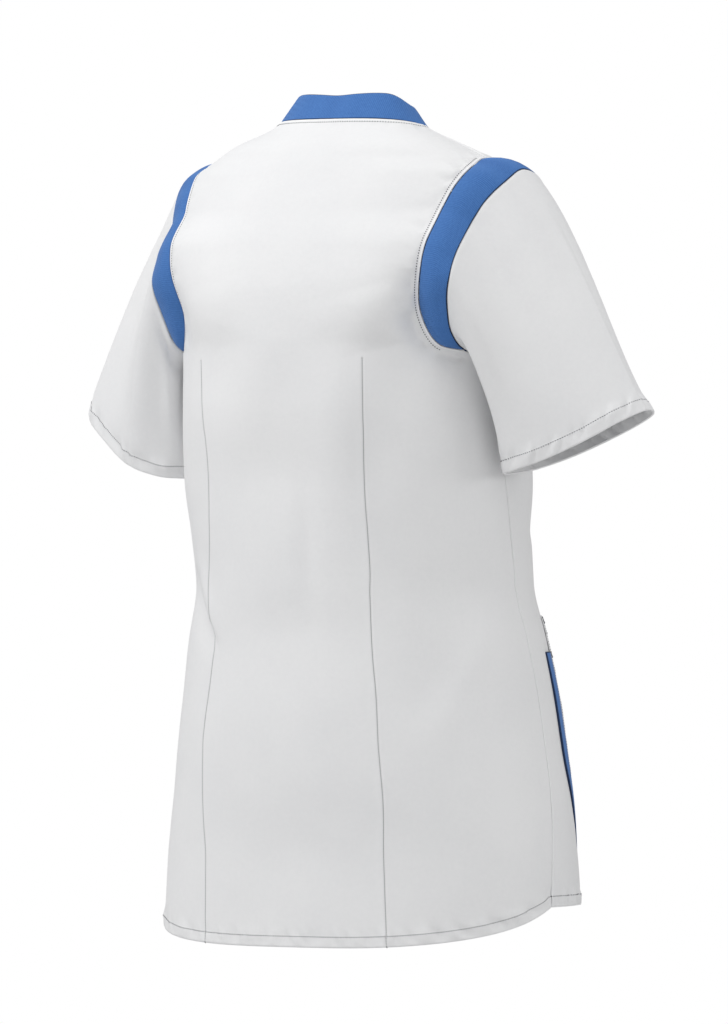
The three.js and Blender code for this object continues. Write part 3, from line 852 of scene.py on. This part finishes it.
def knit_material(colours, sizes):
    """Blue rib knit, with painted light and shade: lighter ribs, darker channels between them,
    rows of loops, and a deep blue painted shade along the edges where it turns into its seams."""
    material, shader = new_material("blue_rib_knit", 0.88, 0.14, 0.45)
    uv = node(material, "ShaderNodeUVMap", {"uv_map": "UVMap"}).outputs["UV"]
    parts = node(material, "ShaderNodeSeparateXYZ", _0=uv).outputs
    rib = calculate(material, "COSINE", times(material, parts[0], 2 * math.pi / sizes.rib))
    slant = times(material, calculate(material, "ABSOLUTE", rib), 1.6)
    rows = times(material, parts[1], 2 * math.pi / KNIT_COURSE)
    course = calculate(material, "SINE", plus(material, rows, slant))
    fuzz = noise_at(material, uv, 420.0, 3.0, 0.6)
    # Painted light and shade of the knit's relief: lighter on ribs and loops, darker between them,
    # with random fuzz.
    raised = times(material, plus(material, rib, 1.0), 0.16)
    loops = times(material, plus(material, course, 1.0), 0.10)
    blend = plus(material, plus(material, raised, loops), times(material, fuzz, 0.6))
    shade = node(material, "ShaderNodeMix", {"data_type": "RGBA"}, Factor=blend)
    shade.inputs[6].default_value = (*colours.knit_shade, 1)
    shade.inputs[7].default_value = (*colours.knit, 1)
    # Painted shade along the knit's edges, where it turns into its seams: deep blue within about a
    # millimetre of the edge.
    edge = node(material, "ShaderNodeAttribute", {"attribute_name": "edge"}).outputs["Fac"]
    edge_shade = node(
        material, "ShaderNodeMapRange", {"interpolation_type": "SMOOTHSTEP"}, Value=edge
    )
    edge_shade.inputs["From Min"].default_value, edge_shade.inputs["From Max"].default_value = KNIT_EDGE_SHADE
    finish = node(material, "ShaderNodeMix", {"data_type": "RGBA"}, Factor=edge_shade.outputs[0])
    finish.inputs[6].default_value = (*colours.knit_edge_shade, 1)
    link(material, shade.outputs[2], finish.inputs[7])
    link(material, finish.outputs[2], shader.inputs["Base Color"])
    height = plus(material, times(material, course, 0.5), fuzz)
    bump = node(material, "ShaderNodeBump", Strength=0.5, Distance=0.00016, Height=height)
    link(material, bump.outputs["Normal"], shader.inputs["Normal"])
    return material


def thread_material(colours):
    """Polyester sewing thread, painted dark grey for the shade of its needle holes: two plies that
    wind round each other, painted a little brighter on top.
    """
    material, shader = new_material("thread_with_painted_shade", 0.6, 0.1, 0.4)
    place = node(material, "ShaderNodeTexCoord").outputs["Object"]
    ply = node(material, "ShaderNodeTexWave", {"bands_direction": "DIAGONAL"}, Vector=place,
               Scale=900.0, Distortion=1.0).outputs["Fac"]
    # Painted shade between the plies, and painted light on their tops.
    shade = ramp_of(material, ply, darker(colours.painted_shade_thread, 0.8), colours.painted_shade_thread)
    link(material, shade, shader.inputs["Base Color"])
    bump = node(material, "ShaderNodeBump", Strength=0.4, Distance=0.0001, Height=ply)
    link(material, bump.outputs["Normal"], shader.inputs["Normal"])
    return material


def finish(name):
    """A finish by its name, made the first time that it is asked for."""
    scene = bpy.context.scene
    made = bpy.data.materials.get(name)
    if made is None:
        makers = {
            "white_twill": lambda: cloth_material(scene.tunic_colours),
            "blue_rib_knit": lambda: knit_material(scene.tunic_colours, scene.tunic_sizes),
            "thread_with_painted_shade": lambda: thread_material(scene.tunic_colours),
        }
        made = makers[name]()
    return made


def settle(obj, slot, *nodes):
    """Every piece rides on the one body and stands for its CAD nodes. Its slot is not used."""
    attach(obj, "root")
    if nodes:
        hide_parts(*nodes)
    return obj


# ---- Back and front


def dart_angle(name, z):
    rows = np.array(DARTS[name], float)
    return np.interp(z, rows[:, 0], rows[:, 1])


def panel_rows(side, sizes):
    """Each row of a panel: the angle and height of its ends, the height of its middle, and how
    far up the armhole and shoulder it is, from 0 to 1."""
    back = side == "back"
    side_length = BACK_LENGTH - UNDERARM_DROP
    side_z = -BACK_LENGTH + spaced(side_length, SIDE_ROW_GAPS, [0, sizes.hem / MM])
    climb = spaced(ARMHOLE_RUN, ARMHOLE_ROW_GAPS, [ARMHOLE_RUN])[1:] * (NECK_STEP / ARMHOLE_RUN)
    tip = BACK_TIP if back else FRONT_TIP
    under = LOOP_END if back else 0
    past_tip = np.clip((climb - TIP_STEP) / (SHOULDER_STEP - TIP_STEP), 0, 1)
    place = np.where(
        climb < TIP_STEP, mix(under, tip, climb), mix(tip, SHOULDER_STATION, past_tip)
    )
    seam = armhole_at(place)
    on_shoulder = climb > SHOULDER_STEP
    shoulder = np.clip((climb - SHOULDER_STEP) / (NECK_STEP - SHOULDER_STEP), 0, 1)
    angle = np.where(on_shoulder, 90, seam["angle"])
    z = np.where(on_shoulder, mix(-SHOULDER_DROP, 0, shoulder), seam["z"])
    top = BACK_NECK_RISE if back else -V_NECK_DEPTH
    middle = mix(-UNDERARM_DROP, top, (climb / NECK_STEP) ** (1 if back else 0.9))
    return {
        "angle": np.concatenate((np.full(len(side_z), 90.0), angle)),
        "z": np.concatenate((side_z, z)),
        "middle": np.concatenate((side_z, middle)),
        "up": np.concatenate((np.zeros(len(side_z)), climb / NECK_STEP)),
        "side": np.arange(len(side_z) + len(climb)) < len(side_z),
    }


def panel_points(side, sizes):
    """A panel's points before its seams and folds, from its right-hand edge to its left-hand one
    as it is looked at from outside, and from the hem up."""
    back = side == "back"
    length = BACK_LENGTH if back else FRONT_LENGTH
    rows = panel_rows(side, sizes)
    half = spaced(HALF_GIRTH, PANEL_COLUMN_GAPS, [DART_PLACE, HALF_GIRTH]) / HALF_GIRTH
    crowded = [0, DART_PLACE / HALF_GIRTH, 1]
    halves = []
    for hand, sign in (("right", -1), ("left", 1)):
        at = dart_angle(f"{side}_{hand}", np.clip(rows["middle"], -BACK_LENGTH, -UNDERARM_DROP))
        turn = rows["angle"] if back else 180 - rows["angle"]
        knot = at / np.maximum(turn, 1)
        share = np.stack([np.interp(half, crowded, [0, k, 1]) for k in knot])
        angle = share * turn[:, None]
        up = rows["up"][:, None]
        bend = share**2 if back else mix(share**2, share, up)
        z = mix(rows["middle"][:, None], rows["z"][:, None], bend)
        fade = np.clip(1 - (rows["z"] + BACK_LENGTH) / HEM_BLEND, 0, 1)[:, None] ** 2
        hem = z + fade * (hem_height(angle, length, back) + BACK_LENGTH)
        if back:
            edge = up**4 * (back_neck_edge(angle) - BACK_NECK_RISE * (1 - share**2))
            z_up = z + edge - share**8 * up**4 * back_neck_edge(turn[:, None])
        else:
            neck_angle = np.interp(share, NECK_SHARE, NECK_ANGLE)
            neck_z = np.interp(share, NECK_SHARE, NECK_Z)
            z_up = z + up**2 * (neck_z + V_NECK_DEPTH * (1 - share))
            angle = angle + up**2 * (180 - neck_angle - share * 90)
        z = np.where(rows["side"][:, None], hem, z_up)
        points = torso_point(angle if back else 180 - angle, z)
        points[..., 0] *= sign
        halves.append(points)
    right, left = halves
    if back:
        return np.concatenate((left[:, ::-1], right[:, 1:]), axis=1)
    return np.concatenate((right[:, ::-1], left[:, 1:]), axis=1)


def body_measure(points):
    """Distances in millimetres over a panel: round the body from its middle, and height."""
    steps = np.linalg.norm(np.diff(points[..., :2], axis=1, prepend=points[:, :1, :2]), axis=-1)
    across = np.cumsum(steps, axis=1)
    middle = np.argmin(np.abs(points[0, :, 0]))
    across -= across[:, middle : middle + 1]
    towards_left = 1 if points[0, -1, 0] > 0 else -1
    return across * towards_left, points[..., 2]


def on_hand(points, hand):
    """Points of the left half, or their mirror image for the right."""
    return points if hand == "left" else points * MIRROR


def side_seam(hand):
    z = np.linspace(-SIDE_LENGTH, -UNDERARM_DROP, 120)
    return on_hand(torso_point(np.full_like(z, 90.0), z), hand)


def armhole_seam(side, hand, joined=False):
    """The body's edge of the armhole: along the insert, or where the sleeve joins the body."""
    tip, under = (BACK_TIP, LOOP_END) if side == "back" else (FRONT_TIP, 0)
    place = np.linspace(under, tip, 30) if joined else np.linspace(tip, SHOULDER_STATION, 160)
    return on_hand(armhole_at(place)["body"], hand)


def dart_line(side, hand):
    name = f"{side}_{hand}"
    length = BACK_LENGTH if side == "back" else FRONT_LENGTH
    z = np.linspace(-length + 0.5, DARTS[name][-1][0], 160)
    angle = dart_angle(name, z)
    return on_hand(torso_point(angle if side == "back" else 180 - angle, z), hand)


def shaped_panel(side, sizes):
    """A panel with its seams, hem, darts, puckers and soft folds; each point's distance from the
    hem, the neck and the armholes; and the painted highlight where the cloth rolls over its seams."""
    back = side == "back"
    points = panel_points(side, sizes)
    out = normals(points)
    across, height = body_measure(points)
    folds = BACK_FOLDS if back else FRONT_FOLDS
    hem_gap, hem_along = near_line(points, points[0], 40)
    form = 0.5 * lumps(points, 70.0, 1 if back else 2) + 0.18 * lumps(points, 26.0, 3)
    form *= 0.35 + 0.65 * smooth(hem_gap / 60)
    form += fold_form(across, height, folds.values())
    topstitch = sizes.topstitch / MM
    # The roll mask marks a painted highlight along the armhole and neck seams, for the material.
    roll_highlight = np.zeros(form.shape)
    gaps = {"hem": hem_gap}
    for number, hand in enumerate(("left", "right")):
        seed = number + (10 if back else 20)
        gap, along = near_line(points, armhole_seam(side, hand), 40)
        gaps[hand] = gap
        form *= smooth(gap / 9)
        form += seam_form(gap, along, seed, topstitch, 1.9, reach=12.0)
        roll_highlight = np.maximum(roll_highlight, 1 - smooth((gap - 1.2) / 0.5))
        gap, along = near_line(points, armhole_seam(side, hand, joined=True), 30)
        form += plain_seam(gap, along, seed + 2, 0.5)
        gap, along = near_line(points, side_seam(hand), 30)
        form *= 0.2 + 0.8 * smooth(gap / 12)
        form += plain_seam(gap, along, seed + 4, 0.22)
        gap, along = near_line(points, dart_line(side, hand), 30)
        form += dart_form(gap, along, seed + 6)
    neck_gap, neck_along = near_line(points, points[-1], 40)
    form *= smooth(neck_gap / 9)
    form += seam_form(neck_gap, neck_along, 5, topstitch, 1.2, reach=8.0)
    roll_highlight = np.maximum(roll_highlight, 1 - smooth((neck_gap - 1.2) / 0.5))
    form += hem_form(hem_gap, hem_along, sizes.hem / MM, 6, 2.2)
    shoulder = panel_rows(side, sizes)["up"] >= SHOULDER_STEP / NECK_STEP
    for edge in (points[shoulder, 0], points[shoulder, -1]):
        gap, along = near_line(points, edge, 30)
        form += plain_seam(gap, along, 7, 0.1)
    gaps["neck"] = neck_gap
    return points + out * form[..., None], gaps, roll_highlight


def build_panel(side):
    sizes = bpy.context.scene.tunic_sizes
    points, gaps, roll_highlight = shaped_panel(side, sizes)
    obj = cloth_sheet(
        f"{side}_cloth", points, finish("white_twill"), 2 * sizes.cloth,
        thick=hem_layers(gaps["hem"], sizes.hem / MM), marks={"roll_highlight": roll_highlight},
    )
    settle(obj, "white_cloth", side)

    surface = surface_of(points)
    rows = panel_rows(side, sizes)
    step = rows["up"] * NECK_STEP
    armhole = ~rows["side"] & (step > 1.05 * TIP_STEP) & (step < SHOULDER_STEP)
    first = "left" if side == "back" else "right"  # the hand that the rows start from
    lines = []
    for hand in ("left", "right"):
        turn = 1 if hand == first else -1
        across, gap = points[armhole, ::turn], gaps[hand][armhole, ::turn]
        lines.append((surface, at_distance(across, gap, sizes.topstitch / MM), 1))
        lines.append((surface, dart_line(side, hand), 1))
    up, hem_gap = points.transpose(1, 0, 2), gaps["hem"].T
    lines.append((surface, at_distance(up, hem_gap, sizes.hem / MM), 1))
    down, neck_gap = up[:, ::-1], gaps["neck"].T[:, ::-1]
    lines.append((surface, at_distance(down, neck_gap, sizes.topstitch / MM), 1))
    inside_points = points - normals(points) * (INNER_FACE * sizes.cloth / MM)
    inside = at_distance(inside_points.transpose(1, 0, 2), hem_gap, sizes.hem / MM)
    lines.append((surface_of(inside_points), inside, -1))
    return obj, stitch_lines(f"{side}_stitching", lines, sizes.stitch / MM)


class TUNIC_OT_back(bpy.types.Operator):
    """Sew the back: one panel with two fitting darts, its hem and its topstitching"""

    bl_idname = "tunic.back"
    bl_label = "Back"

    def execute(self, context):
        back, painted_shade_thread = build_panel("back")
        return {"FINISHED"}


class TUNIC_OT_front(bpy.types.Operator):
    """Sew the front: one panel with a V neck, two fitting darts, its hem and its topstitching"""

    bl_idname = "tunic.front"
    bl_label = "Front"

    def execute(self, context):
        front, painted_shade_thread = build_panel("front")
        return {"FINISHED"}


# ---- Pockets


def pocket_angle(column, z):
    """Degrees from centre front of a pocket's upright edge, which slants forward as it drops."""
    above = smooth((SLANT_TOP - z) / (SLANT_TOP - POCKET_BOTTOM))
    share = np.clip((column - POCKET_INNER) / (POCKET_EDGE - POCKET_INNER), 0, 1)
    return column * 90 / PANEL_COLUMNS - SLANT_ANGLE * above * share


def patch_points(hand, inner, outer, bottom, top, lift, rows, columns):
    """A patch on the front between two upright edges and two levels, lifted off it."""
    share = spaced(1, (0.012, 1 / columns), [0, 1])
    z = bottom + (top - bottom) * spaced(1, (0.005, 1 / rows), [0, 1])
    column = mix(inner, outer, share)[None, :]
    angle = pocket_angle(column, z[:, None])
    points = torso_point(180 - angle, z[:, None] + 0 * angle)
    out = normals(points)
    points = points + out * lift(share[None, :], z[:, None])[..., None]
    return points if hand == "left" else points[:, ::-1] * MIRROR


def mouth_gape(z):
    """How far the pocket's slanted mouth stands off the front, in millimetres."""
    share = np.clip((z - POCKET_BOTTOM) / (BAND_TOP - POCKET_BOTTOM), 0, 1)
    return 0.9 * np.sin(np.pi * share**0.8) ** 0.7 * (z <= BAND_TOP)


def build_pocket(hand):
    sizes = bpy.context.scene.tunic_sizes
    seed = 31 if hand == "left" else 37

    def pouch(share, z):
        height = np.clip((z - POCKET_BOTTOM) / (POCKET_TOP - POCKET_BOTTOM), 0, 1)
        belly = 2.6 * np.sin(np.pi * share) * np.sin(np.pi * height)
        return 1.2 + belly + share**3 * mouth_gape(z)

    points = patch_points(
        hand, POCKET_INNER, BAND_INNER, POCKET_BOTTOM, POCKET_TOP, pouch, rows=70, columns=44
    )
    out = normals(points)
    edges = np.concatenate((points[::-1, 0], points[0], points[:, -1]))
    gap, along = near_line(points, edges, 30)
    top_gap, top_along = near_line(points, points[-1], 30)
    form = hem_form(top_gap, top_along, POCKET_HEM, seed, 0.25)
    form += 0.3 * lumps(points, 30.0, seed)
    form += 0.25 * (1 - smooth((gap - 5) / 2)) - 0.25 * bell(gap, POCKET_STITCH, 0.8)
    fan = bell(gap, 3, 5)
    form += 0.3 * fan * ripple(along, gap * 0.3, 8.0, seed + 1, fan > 0.02)
    points = points + out * form[..., None]
    pocket = cloth_sheet(f"pocket_cloth_{hand}", points, finish("white_twill"), sizes.cloth)
    settle(pocket, "white_cloth", f"pocket_{hand}")

    def rounded(share, z):
        return 1.3 + mouth_gape(z) + 0.5 * np.sin(np.pi * share)

    band = patch_points(
        hand, BAND_INNER, POCKET_EDGE, POCKET_BOTTOM, BAND_TOP, rounded, rows=60, columns=10
    )
    edge = border_gap(band, ends=True)
    knit = knit_sheet(f"pocket_knit_{hand}", band, edge, f"pocket_band_{hand}")

    surface = surface_of(points)
    centre = points.mean(axis=(0, 1))
    inner, mouth = (points[:, 0], points[:, -1])[:: 1 if hand == "left" else -1]
    distances = ((points[0], POCKET_STITCH), (inner, POCKET_STITCH), (points[-1], POCKET_HEM),
                 (mouth, POCKET_STITCH))
    lines = [(surface, beside(surface, line, gap, centre), 1) for line, gap in distances]
    painted_shade_thread = stitch_lines(f"pocket_stitching_{hand}", lines, sizes.stitch / MM)
    tacks = []
    for level in (POCKET_TOP - 1.5, BAND_TOP, POCKET_BOTTOM + 1.5):
        start = mouth[int(np.argmin(np.abs(mouth[:, 2] - level)))]
        end = start + unit(centre - start) * BARTACK_LENGTH
        tacks.append((surface, np.array((start, end)), 1))
    tack = stitch_lines(f"pocket_bartacks_{hand}", tacks, BARTACK_PITCH, BARTACK_STITCH)


class TUNIC_OT_pockets(bpy.types.Operator):
    """Sew the two patch pockets, with a blue knit band along each slanted mouth"""

    bl_idname = "tunic.pockets"
    bl_label = "Pockets"

    def execute(self, context):
        for hand in ("left", "right"):
            build_pocket(hand)
        return {"FINISHED"}


# ---- Knit trims


def ribbed(points):
    """A knit piece's grid with four columns to each rib, spaced by the middle row's length. The
    UV map's first measure counts the same ribs."""
    sizes = bpy.context.scene.tunic_sizes
    pitch = sizes.rib / MM
    middle = lengths(points[points.shape[0] // 2])
    count = int(middle[-1] / pitch * 4)
    marks = np.linspace(0, middle[-1], count + 1)
    column = np.interp(marks, middle, np.arange(len(middle)))
    first = np.clip(np.floor(column).astype(int), 0, len(middle) - 2)
    part = (column - first)[None, :, None]
    return points[:, first] * (1 - part) + points[:, first + 1] * part


def border_gap(points, ends=False):
    """Each point's distance from the piece's two long edges, and from its ends if asked."""
    up = grid_lengths(points, 0)
    gap = np.minimum(up, up[-1:] - up)
    if ends:
        across = grid_lengths(points, 1)
        gap = np.minimum(gap, np.minimum(across, across[:, -1:] - across))
    return gap


def rib_form(points, edge):
    """Ribs across a knit piece, flattened where it turns into its seams."""
    sizes = bpy.context.scene.tunic_sizes
    middle = points.shape[1] // 2
    across = grid_lengths(points, 1)
    across -= across[:, middle : middle + 1]
    wave = np.cos(2 * np.pi * across / (sizes.rib / MM))
    turned_in = 1.0 * (1 - smooth(edge / 1.2))
    return sizes.rib_height / MM * wave * smooth(edge / 1.5) - turned_in


def knit_sheet(name, points, edge, cad_node, closed=False):
    """A knit piece's sheet, which knows each point's distance from its edges."""
    sheet = cloth_sheet(
        name, points, finish("blue_rib_knit"), bpy.context.scene.tunic_sizes.knit,
        closed=closed, marks={"edge": edge * MM},
    )
    return settle(sheet, "blue_knit", cad_node)


def insert_points():
    """The left insert, from the back's tip round the shoulder to the front's, body edge first."""
    place = np.linspace(BACK_TIP, FRONT_TIP, 400)
    seam = armhole_at(place)
    rows = np.array((0, 0.02, 0.05, 0.1, 0.2, 0.35, 0.5, 0.65, 0.8, 0.9, 0.95, 0.98, 1.0))
    share = rows[:, None, None]
    near = seam["body"] - seam["across"] * 0.2
    far = seam["sleeve"] + seam["across"] * 0.2
    swell = np.minimum(1, seam["width"] / 25)[None, :, None]
    bulge = np.sin(np.pi * share) * INSERT_BULGE * swell
    return mix(near, far, share) - seam["inward"] * bulge


def build_insert(hand):
    points = ribbed(insert_points())
    if hand == "right":
        points = points[:, ::-1] * MIRROR
    edge = border_gap(points)
    out = normals(points)
    form = rib_form(points, edge) + 0.25 * lumps(points, 24.0, 41 if hand == "left" else 43)
    points = points + out * form[..., None]
    return knit_sheet(f"insert_knit_{hand}", points, edge, f"insert_{hand}")


class TUNIC_OT_inserts(bpy.types.Operator):
    """Sew the two rib-knit inserts into the armholes"""

    bl_idname = "tunic.inserts"
    bl_label = "Armhole inserts"

    def execute(self, context):
        for hand in ("left", "right"):
            insert = build_insert(hand)
        return {"FINISHED"}


def neck_seam(station):
    share = np.clip(station, 0, 1)
    front_angle = np.interp(share, NECK_SHARE, NECK_ANGLE)
    back_angle = 90 * (2 - np.maximum(station, 1))
    angle = np.where(station <= 1, front_angle, back_angle)
    z = np.where(station <= 1, np.interp(share, NECK_SHARE, NECK_Z), back_neck_edge(back_angle))
    return torso_point(angle, z)


def collar_points():
    """The collar's outer face, once round from centre front: up its left leg, behind the neck
    and down its right leg. Its rows go from the seam to the free edge."""
    half = np.linspace(0, 2, 400)
    rows = np.array((0, 0.03, 0.07, 0.15, 0.3, 0.5, 0.7, 0.85, 0.94, 0.975, 1.0))
    seam = neck_seam(half)
    left = seam + rows[:, None, None] * lean_at(half)
    right = left[:, -2::-1] * MIRROR
    return np.concatenate((left, right), axis=1)


class TUNIC_OT_collar(bpy.types.Operator):
    """Sew the rib-knit stand collar, which runs down both sides of the V neck"""

    bl_idname = "tunic.collar"
    bl_label = "Collar"

    def execute(self, context):
        points = ribbed(collar_points())
        edge = border_gap(points)
        form = rib_form(points, edge) + 0.25 * lumps(points, 30.0, 47)
        points = points + normals(points, closed=True) * form[..., None]
        points[:, -1] = points[:, 0]
        collar = knit_sheet("collar_knit", points, edge, "collar", closed=True)
        return {"FINISHED"}


# ---- Sleeves


def sleeve_turns(count):
    """Places round the sleeve's seam, evenly by its length, with the hem's turn for each."""
    dense = np.linspace(0, LOOP_END, 1441)
    along = lengths(armhole_at(dense)["sleeve"])
    place = np.interp(np.linspace(0, along[-1], count + 1), along, dense)
    place[0], place[-1] = 0, LOOP_END
    passed = np.interp(place, dense, along)
    shoulder = np.interp(SHOULDER_STATION, dense, along)
    turn = np.where(
        passed < shoulder,
        180 + 180 * passed / shoulder,
        360 + 180 * (passed - shoulder) / (along[-1] - shoulder),
    )
    return place, turn


def sleeve_points(hand, sizes):
    """The left sleeve, or the right one before it is mirrored, from the hem to the armhole; the
    turn of each column; and how far down each row is, from 0 to 1."""
    place, turn = sleeve_turns(SLEEVE_COLUMNS)
    marks = [0, sizes.sleeve_hem / MM, SLEEVE_LENGTH]
    down = 1 - spaced(SLEEVE_LENGTH, SLEEVE_ROW_GAPS, marks) / SLEEVE_LENGTH
    seam = armhole_at(place)
    start = seam["sleeve"]
    angle = np.radians(turn)[:, None]
    end = HEM_MIDDLE + HEM_OUTWARD * np.cos(angle) + HEM_BACKWARD * np.sin(angle)
    end[:, 2] -= loop_values(HEM_DROP[hand], (turn % 360) / 30)
    span = end - start
    length = np.linalg.norm(span, axis=-1, keepdims=True)
    along = unit(span)
    share = smooth(seam["width"] / NARROW_INSERT)[:, None]
    underside = np.broadcast_to(UNDERSIDE[hand], along.shape)
    fall = mix(seam["across"], along, SLEEVE_FALL)
    leave = unit(mix(underside, fall, share)) * SLEEVE_FULLNESS
    v = down[:, None, None]
    points = start * (2 * v**3 - 3 * v**2 + 1) + leave * length * (v**3 - 2 * v**2 + v)
    return points + end * (3 * v**2 - 2 * v**3) + span * (v**3 - v**2), turn, down


def build_sleeve(hand):
    sizes = bpy.context.scene.tunic_sizes
    points, turn, down = sleeve_points(hand, sizes)
    out = normals(points, closed=True)
    seed = 51 if hand == "left" else 61
    scale = np.array((FOLD_GIRTH, FOLD_LENGTH, FOLD_GIRTH, FOLD_LENGTH, 1, 1, 1))
    round_it = (turn % 360)[None, :] * FOLD_GIRTH + 0 * points[..., 0]
    down_it = down[:, None] * FOLD_LENGTH + 0 * points[..., 0]
    form = fold_form(round_it, down_it, np.array(list(SLEEVE_FOLDS[hand].values())) * scale)
    form += 0.4 * lumps(points, 55.0, seed) + 0.15 * lumps(points, 22.0, seed)
    hem_gap, hem_along = near_line(points, points[0], 40)
    top_gap, top_along = near_line(points, points[-1], 40)
    form *= smooth(top_gap / 8) * (0.5 + 0.5 * smooth(hem_gap / 25))
    form += plain_seam(top_gap, top_along, seed + 1, 0.22)
    form += hem_form(hem_gap, hem_along, sizes.sleeve_hem / MM, seed + 2, 2.0)
    gap, along = near_line(points, points[:, 0], 25)
    form += plain_seam(gap, along, seed + 3, 0.15)
    points = points + out * form[..., None]
    points[:, -1] = points[:, 0]
    if hand == "right":
        points = points[:, ::-1] * MIRROR
        hem_gap = hem_gap[:, ::-1]
    depth = sizes.sleeve_hem / MM
    obj = cloth_sheet(
        f"sleeve_cloth_{hand}", points, finish("white_twill"), 2 * sizes.cloth, closed=True,
        thick=hem_layers(hem_gap, depth),
    )
    settle(obj, "white_cloth", f"sleeve_{hand}")
    inside_points = points - normals(points, closed=True) * (INNER_FACE * sizes.cloth / MM)
    lines = []
    for grid, side in ((points, 1), (inside_points, -1)):
        up = grid.transpose(1, 0, 2)
        lines.append((surface_of(grid), at_distance(up, hem_gap.T, depth), side))
    return obj, stitch_lines(f"sleeve_stitching_{hand}", lines, sizes.stitch / MM)


class TUNIC_OT_sleeves(bpy.types.Operator):
    """Sew the two short sleeves, with their hems"""

    bl_idname = "tunic.sleeves"
    bl_label = "Sleeves"

    def execute(self, context):
        for hand in ("left", "right"):
            sleeve, painted_shade_thread = build_sleeve(hand)
        return {"FINISHED"}


# ---- Stage


def area_light(name, place, target, power):
    data = bpy.data.lights.new(name, "AREA")
    data.shape = "DISK"
    data.size = LIGHT_SIZE
    data.energy = power
    obj = add_object(name, data)
    obj.location = place
    obj.rotation_euler = (target - place).to_track_quat("-Z", "Y").to_euler()


class TUNIC_OT_stage(bpy.types.Operator):
    """Set up the pale floor, the soft studio lights and the camera"""

    bl_idname = "tunic.stage"
    bl_label = "Stage"

    def execute(self, context):
        sizes = context.scene.tunic_sizes
        floor_colour = context.scene.tunic_colours.floor
        bm = bmesh.new()
        bmesh.ops.create_circle(bm, cap_ends=True, segments=96, radius=12)
        bmesh.ops.translate(bm, verts=bm.verts, vec=(0, 0, -sizes.floor_drop))
        mesh = mesh_from(bm, "floor")
        material, shader = new_material("studio_floor", 0.9, 0.0, 0.5)
        place = node(material, "ShaderNodeTexCoord").outputs["Object"]
        mottle = node(material, "ShaderNodeTexNoise", Vector=place, Scale=3.0).outputs["Fac"]
        shade = ramp_of(material, mottle, darker(floor_colour, 0.97), floor_colour)
        link(material, shade, shader.inputs["Base Color"])
        mesh.materials.append(material)
        add_object("floor", mesh)

        world = bpy.data.worlds.new("studio")
        context.scene.world = world
        world.use_nodes = True
        background = world.node_tree.nodes["Background"]
        seen = world.node_tree.nodes.new("ShaderNodeLightPath").outputs["Is Camera Ray"]
        strength = world.node_tree.nodes.new("ShaderNodeMapRange")
        strength.inputs["To Min"].default_value = SKYLIGHT
        strength.inputs["To Max"].default_value = 1.0
        world.node_tree.links.new(seen, strength.inputs["Value"])
        world.node_tree.links.new(strength.outputs[0], background.inputs["Strength"])
        background.inputs["Color"].default_value = (1, 1, 1, 1)
        context.scene.view_settings.view_transform = "Standard"

        azimuth = math.radians(CAMERA_AZIMUTH)
        back = Vector((math.sin(azimuth), -math.cos(azimuth), 0))
        right = Vector((math.cos(azimuth), math.sin(azimuth), 0))
        up = Vector((0, 0, 1))
        aim = right * CAMERA_AIM[0] + up * CAMERA_AIM[1]
        for name, (out, side, rise, power) in LIGHTS.items():
            direction = (back * out + right * side + up * rise).normalized()
            area_light(name, aim + direction * LIGHT_DISTANCE, aim, power)

        data = bpy.data.cameras.new("camera")
        data.sensor_width = 36
        data.lens = data.sensor_width * sizes.camera_distance / sizes.picture_height
        data.clip_end = 100
        camera = add_object("camera", data)
        camera.location = aim + back * sizes.camera_distance
        camera.rotation_euler = (-back).to_track_quat("-Z", "Y").to_euler()
        context.scene.camera = camera
        return {"FINISHED"}


# ---- The add-on


class TUNIC_PT_panel(bpy.types.Panel):
    """The tunic's sizes, colours and pieces"""

    bl_idname = "TUNIC_PT_panel"
    bl_label = "Medical tunic"
    bl_space_type = "VIEW_3D"
    bl_region_type = "UI"
    bl_category = "Tunic"

    def draw(self, context):
        for group in (context.scene.tunic_sizes, context.scene.tunic_colours):
            column = self.layout.column()
            for name in group.__annotations__:
                column.prop(group, name)
        for operator in OPERATORS:
            self.layout.operator(operator.bl_idname)


OPERATORS = (
    TUNIC_OT_stage,
    TUNIC_OT_back,
    TUNIC_OT_front,
    TUNIC_OT_pockets,
    TUNIC_OT_inserts,
    TUNIC_OT_sleeves,
    TUNIC_OT_collar,
)
CLASSES = (TunicSizes, TunicColours, *OPERATORS, TUNIC_PT_panel)


def register():
    for cls in CLASSES:
        bpy.utils.register_class(cls)
    bpy.types.Scene.tunic_sizes = PointerProperty(type=TunicSizes)
    bpy.types.Scene.tunic_colours = PointerProperty(type=TunicColours)


def unregister():
    del bpy.types.Scene.tunic_colours
    del bpy.types.Scene.tunic_sizes
    for cls in reversed(CLASSES):
        bpy.utils.unregister_class(cls)


def main():
    register()
    for operator in OPERATORS:
        getattr(bpy.ops.tunic, operator.bl_idname.split(".")[1])()


if __name__ == "__main__":
    main()
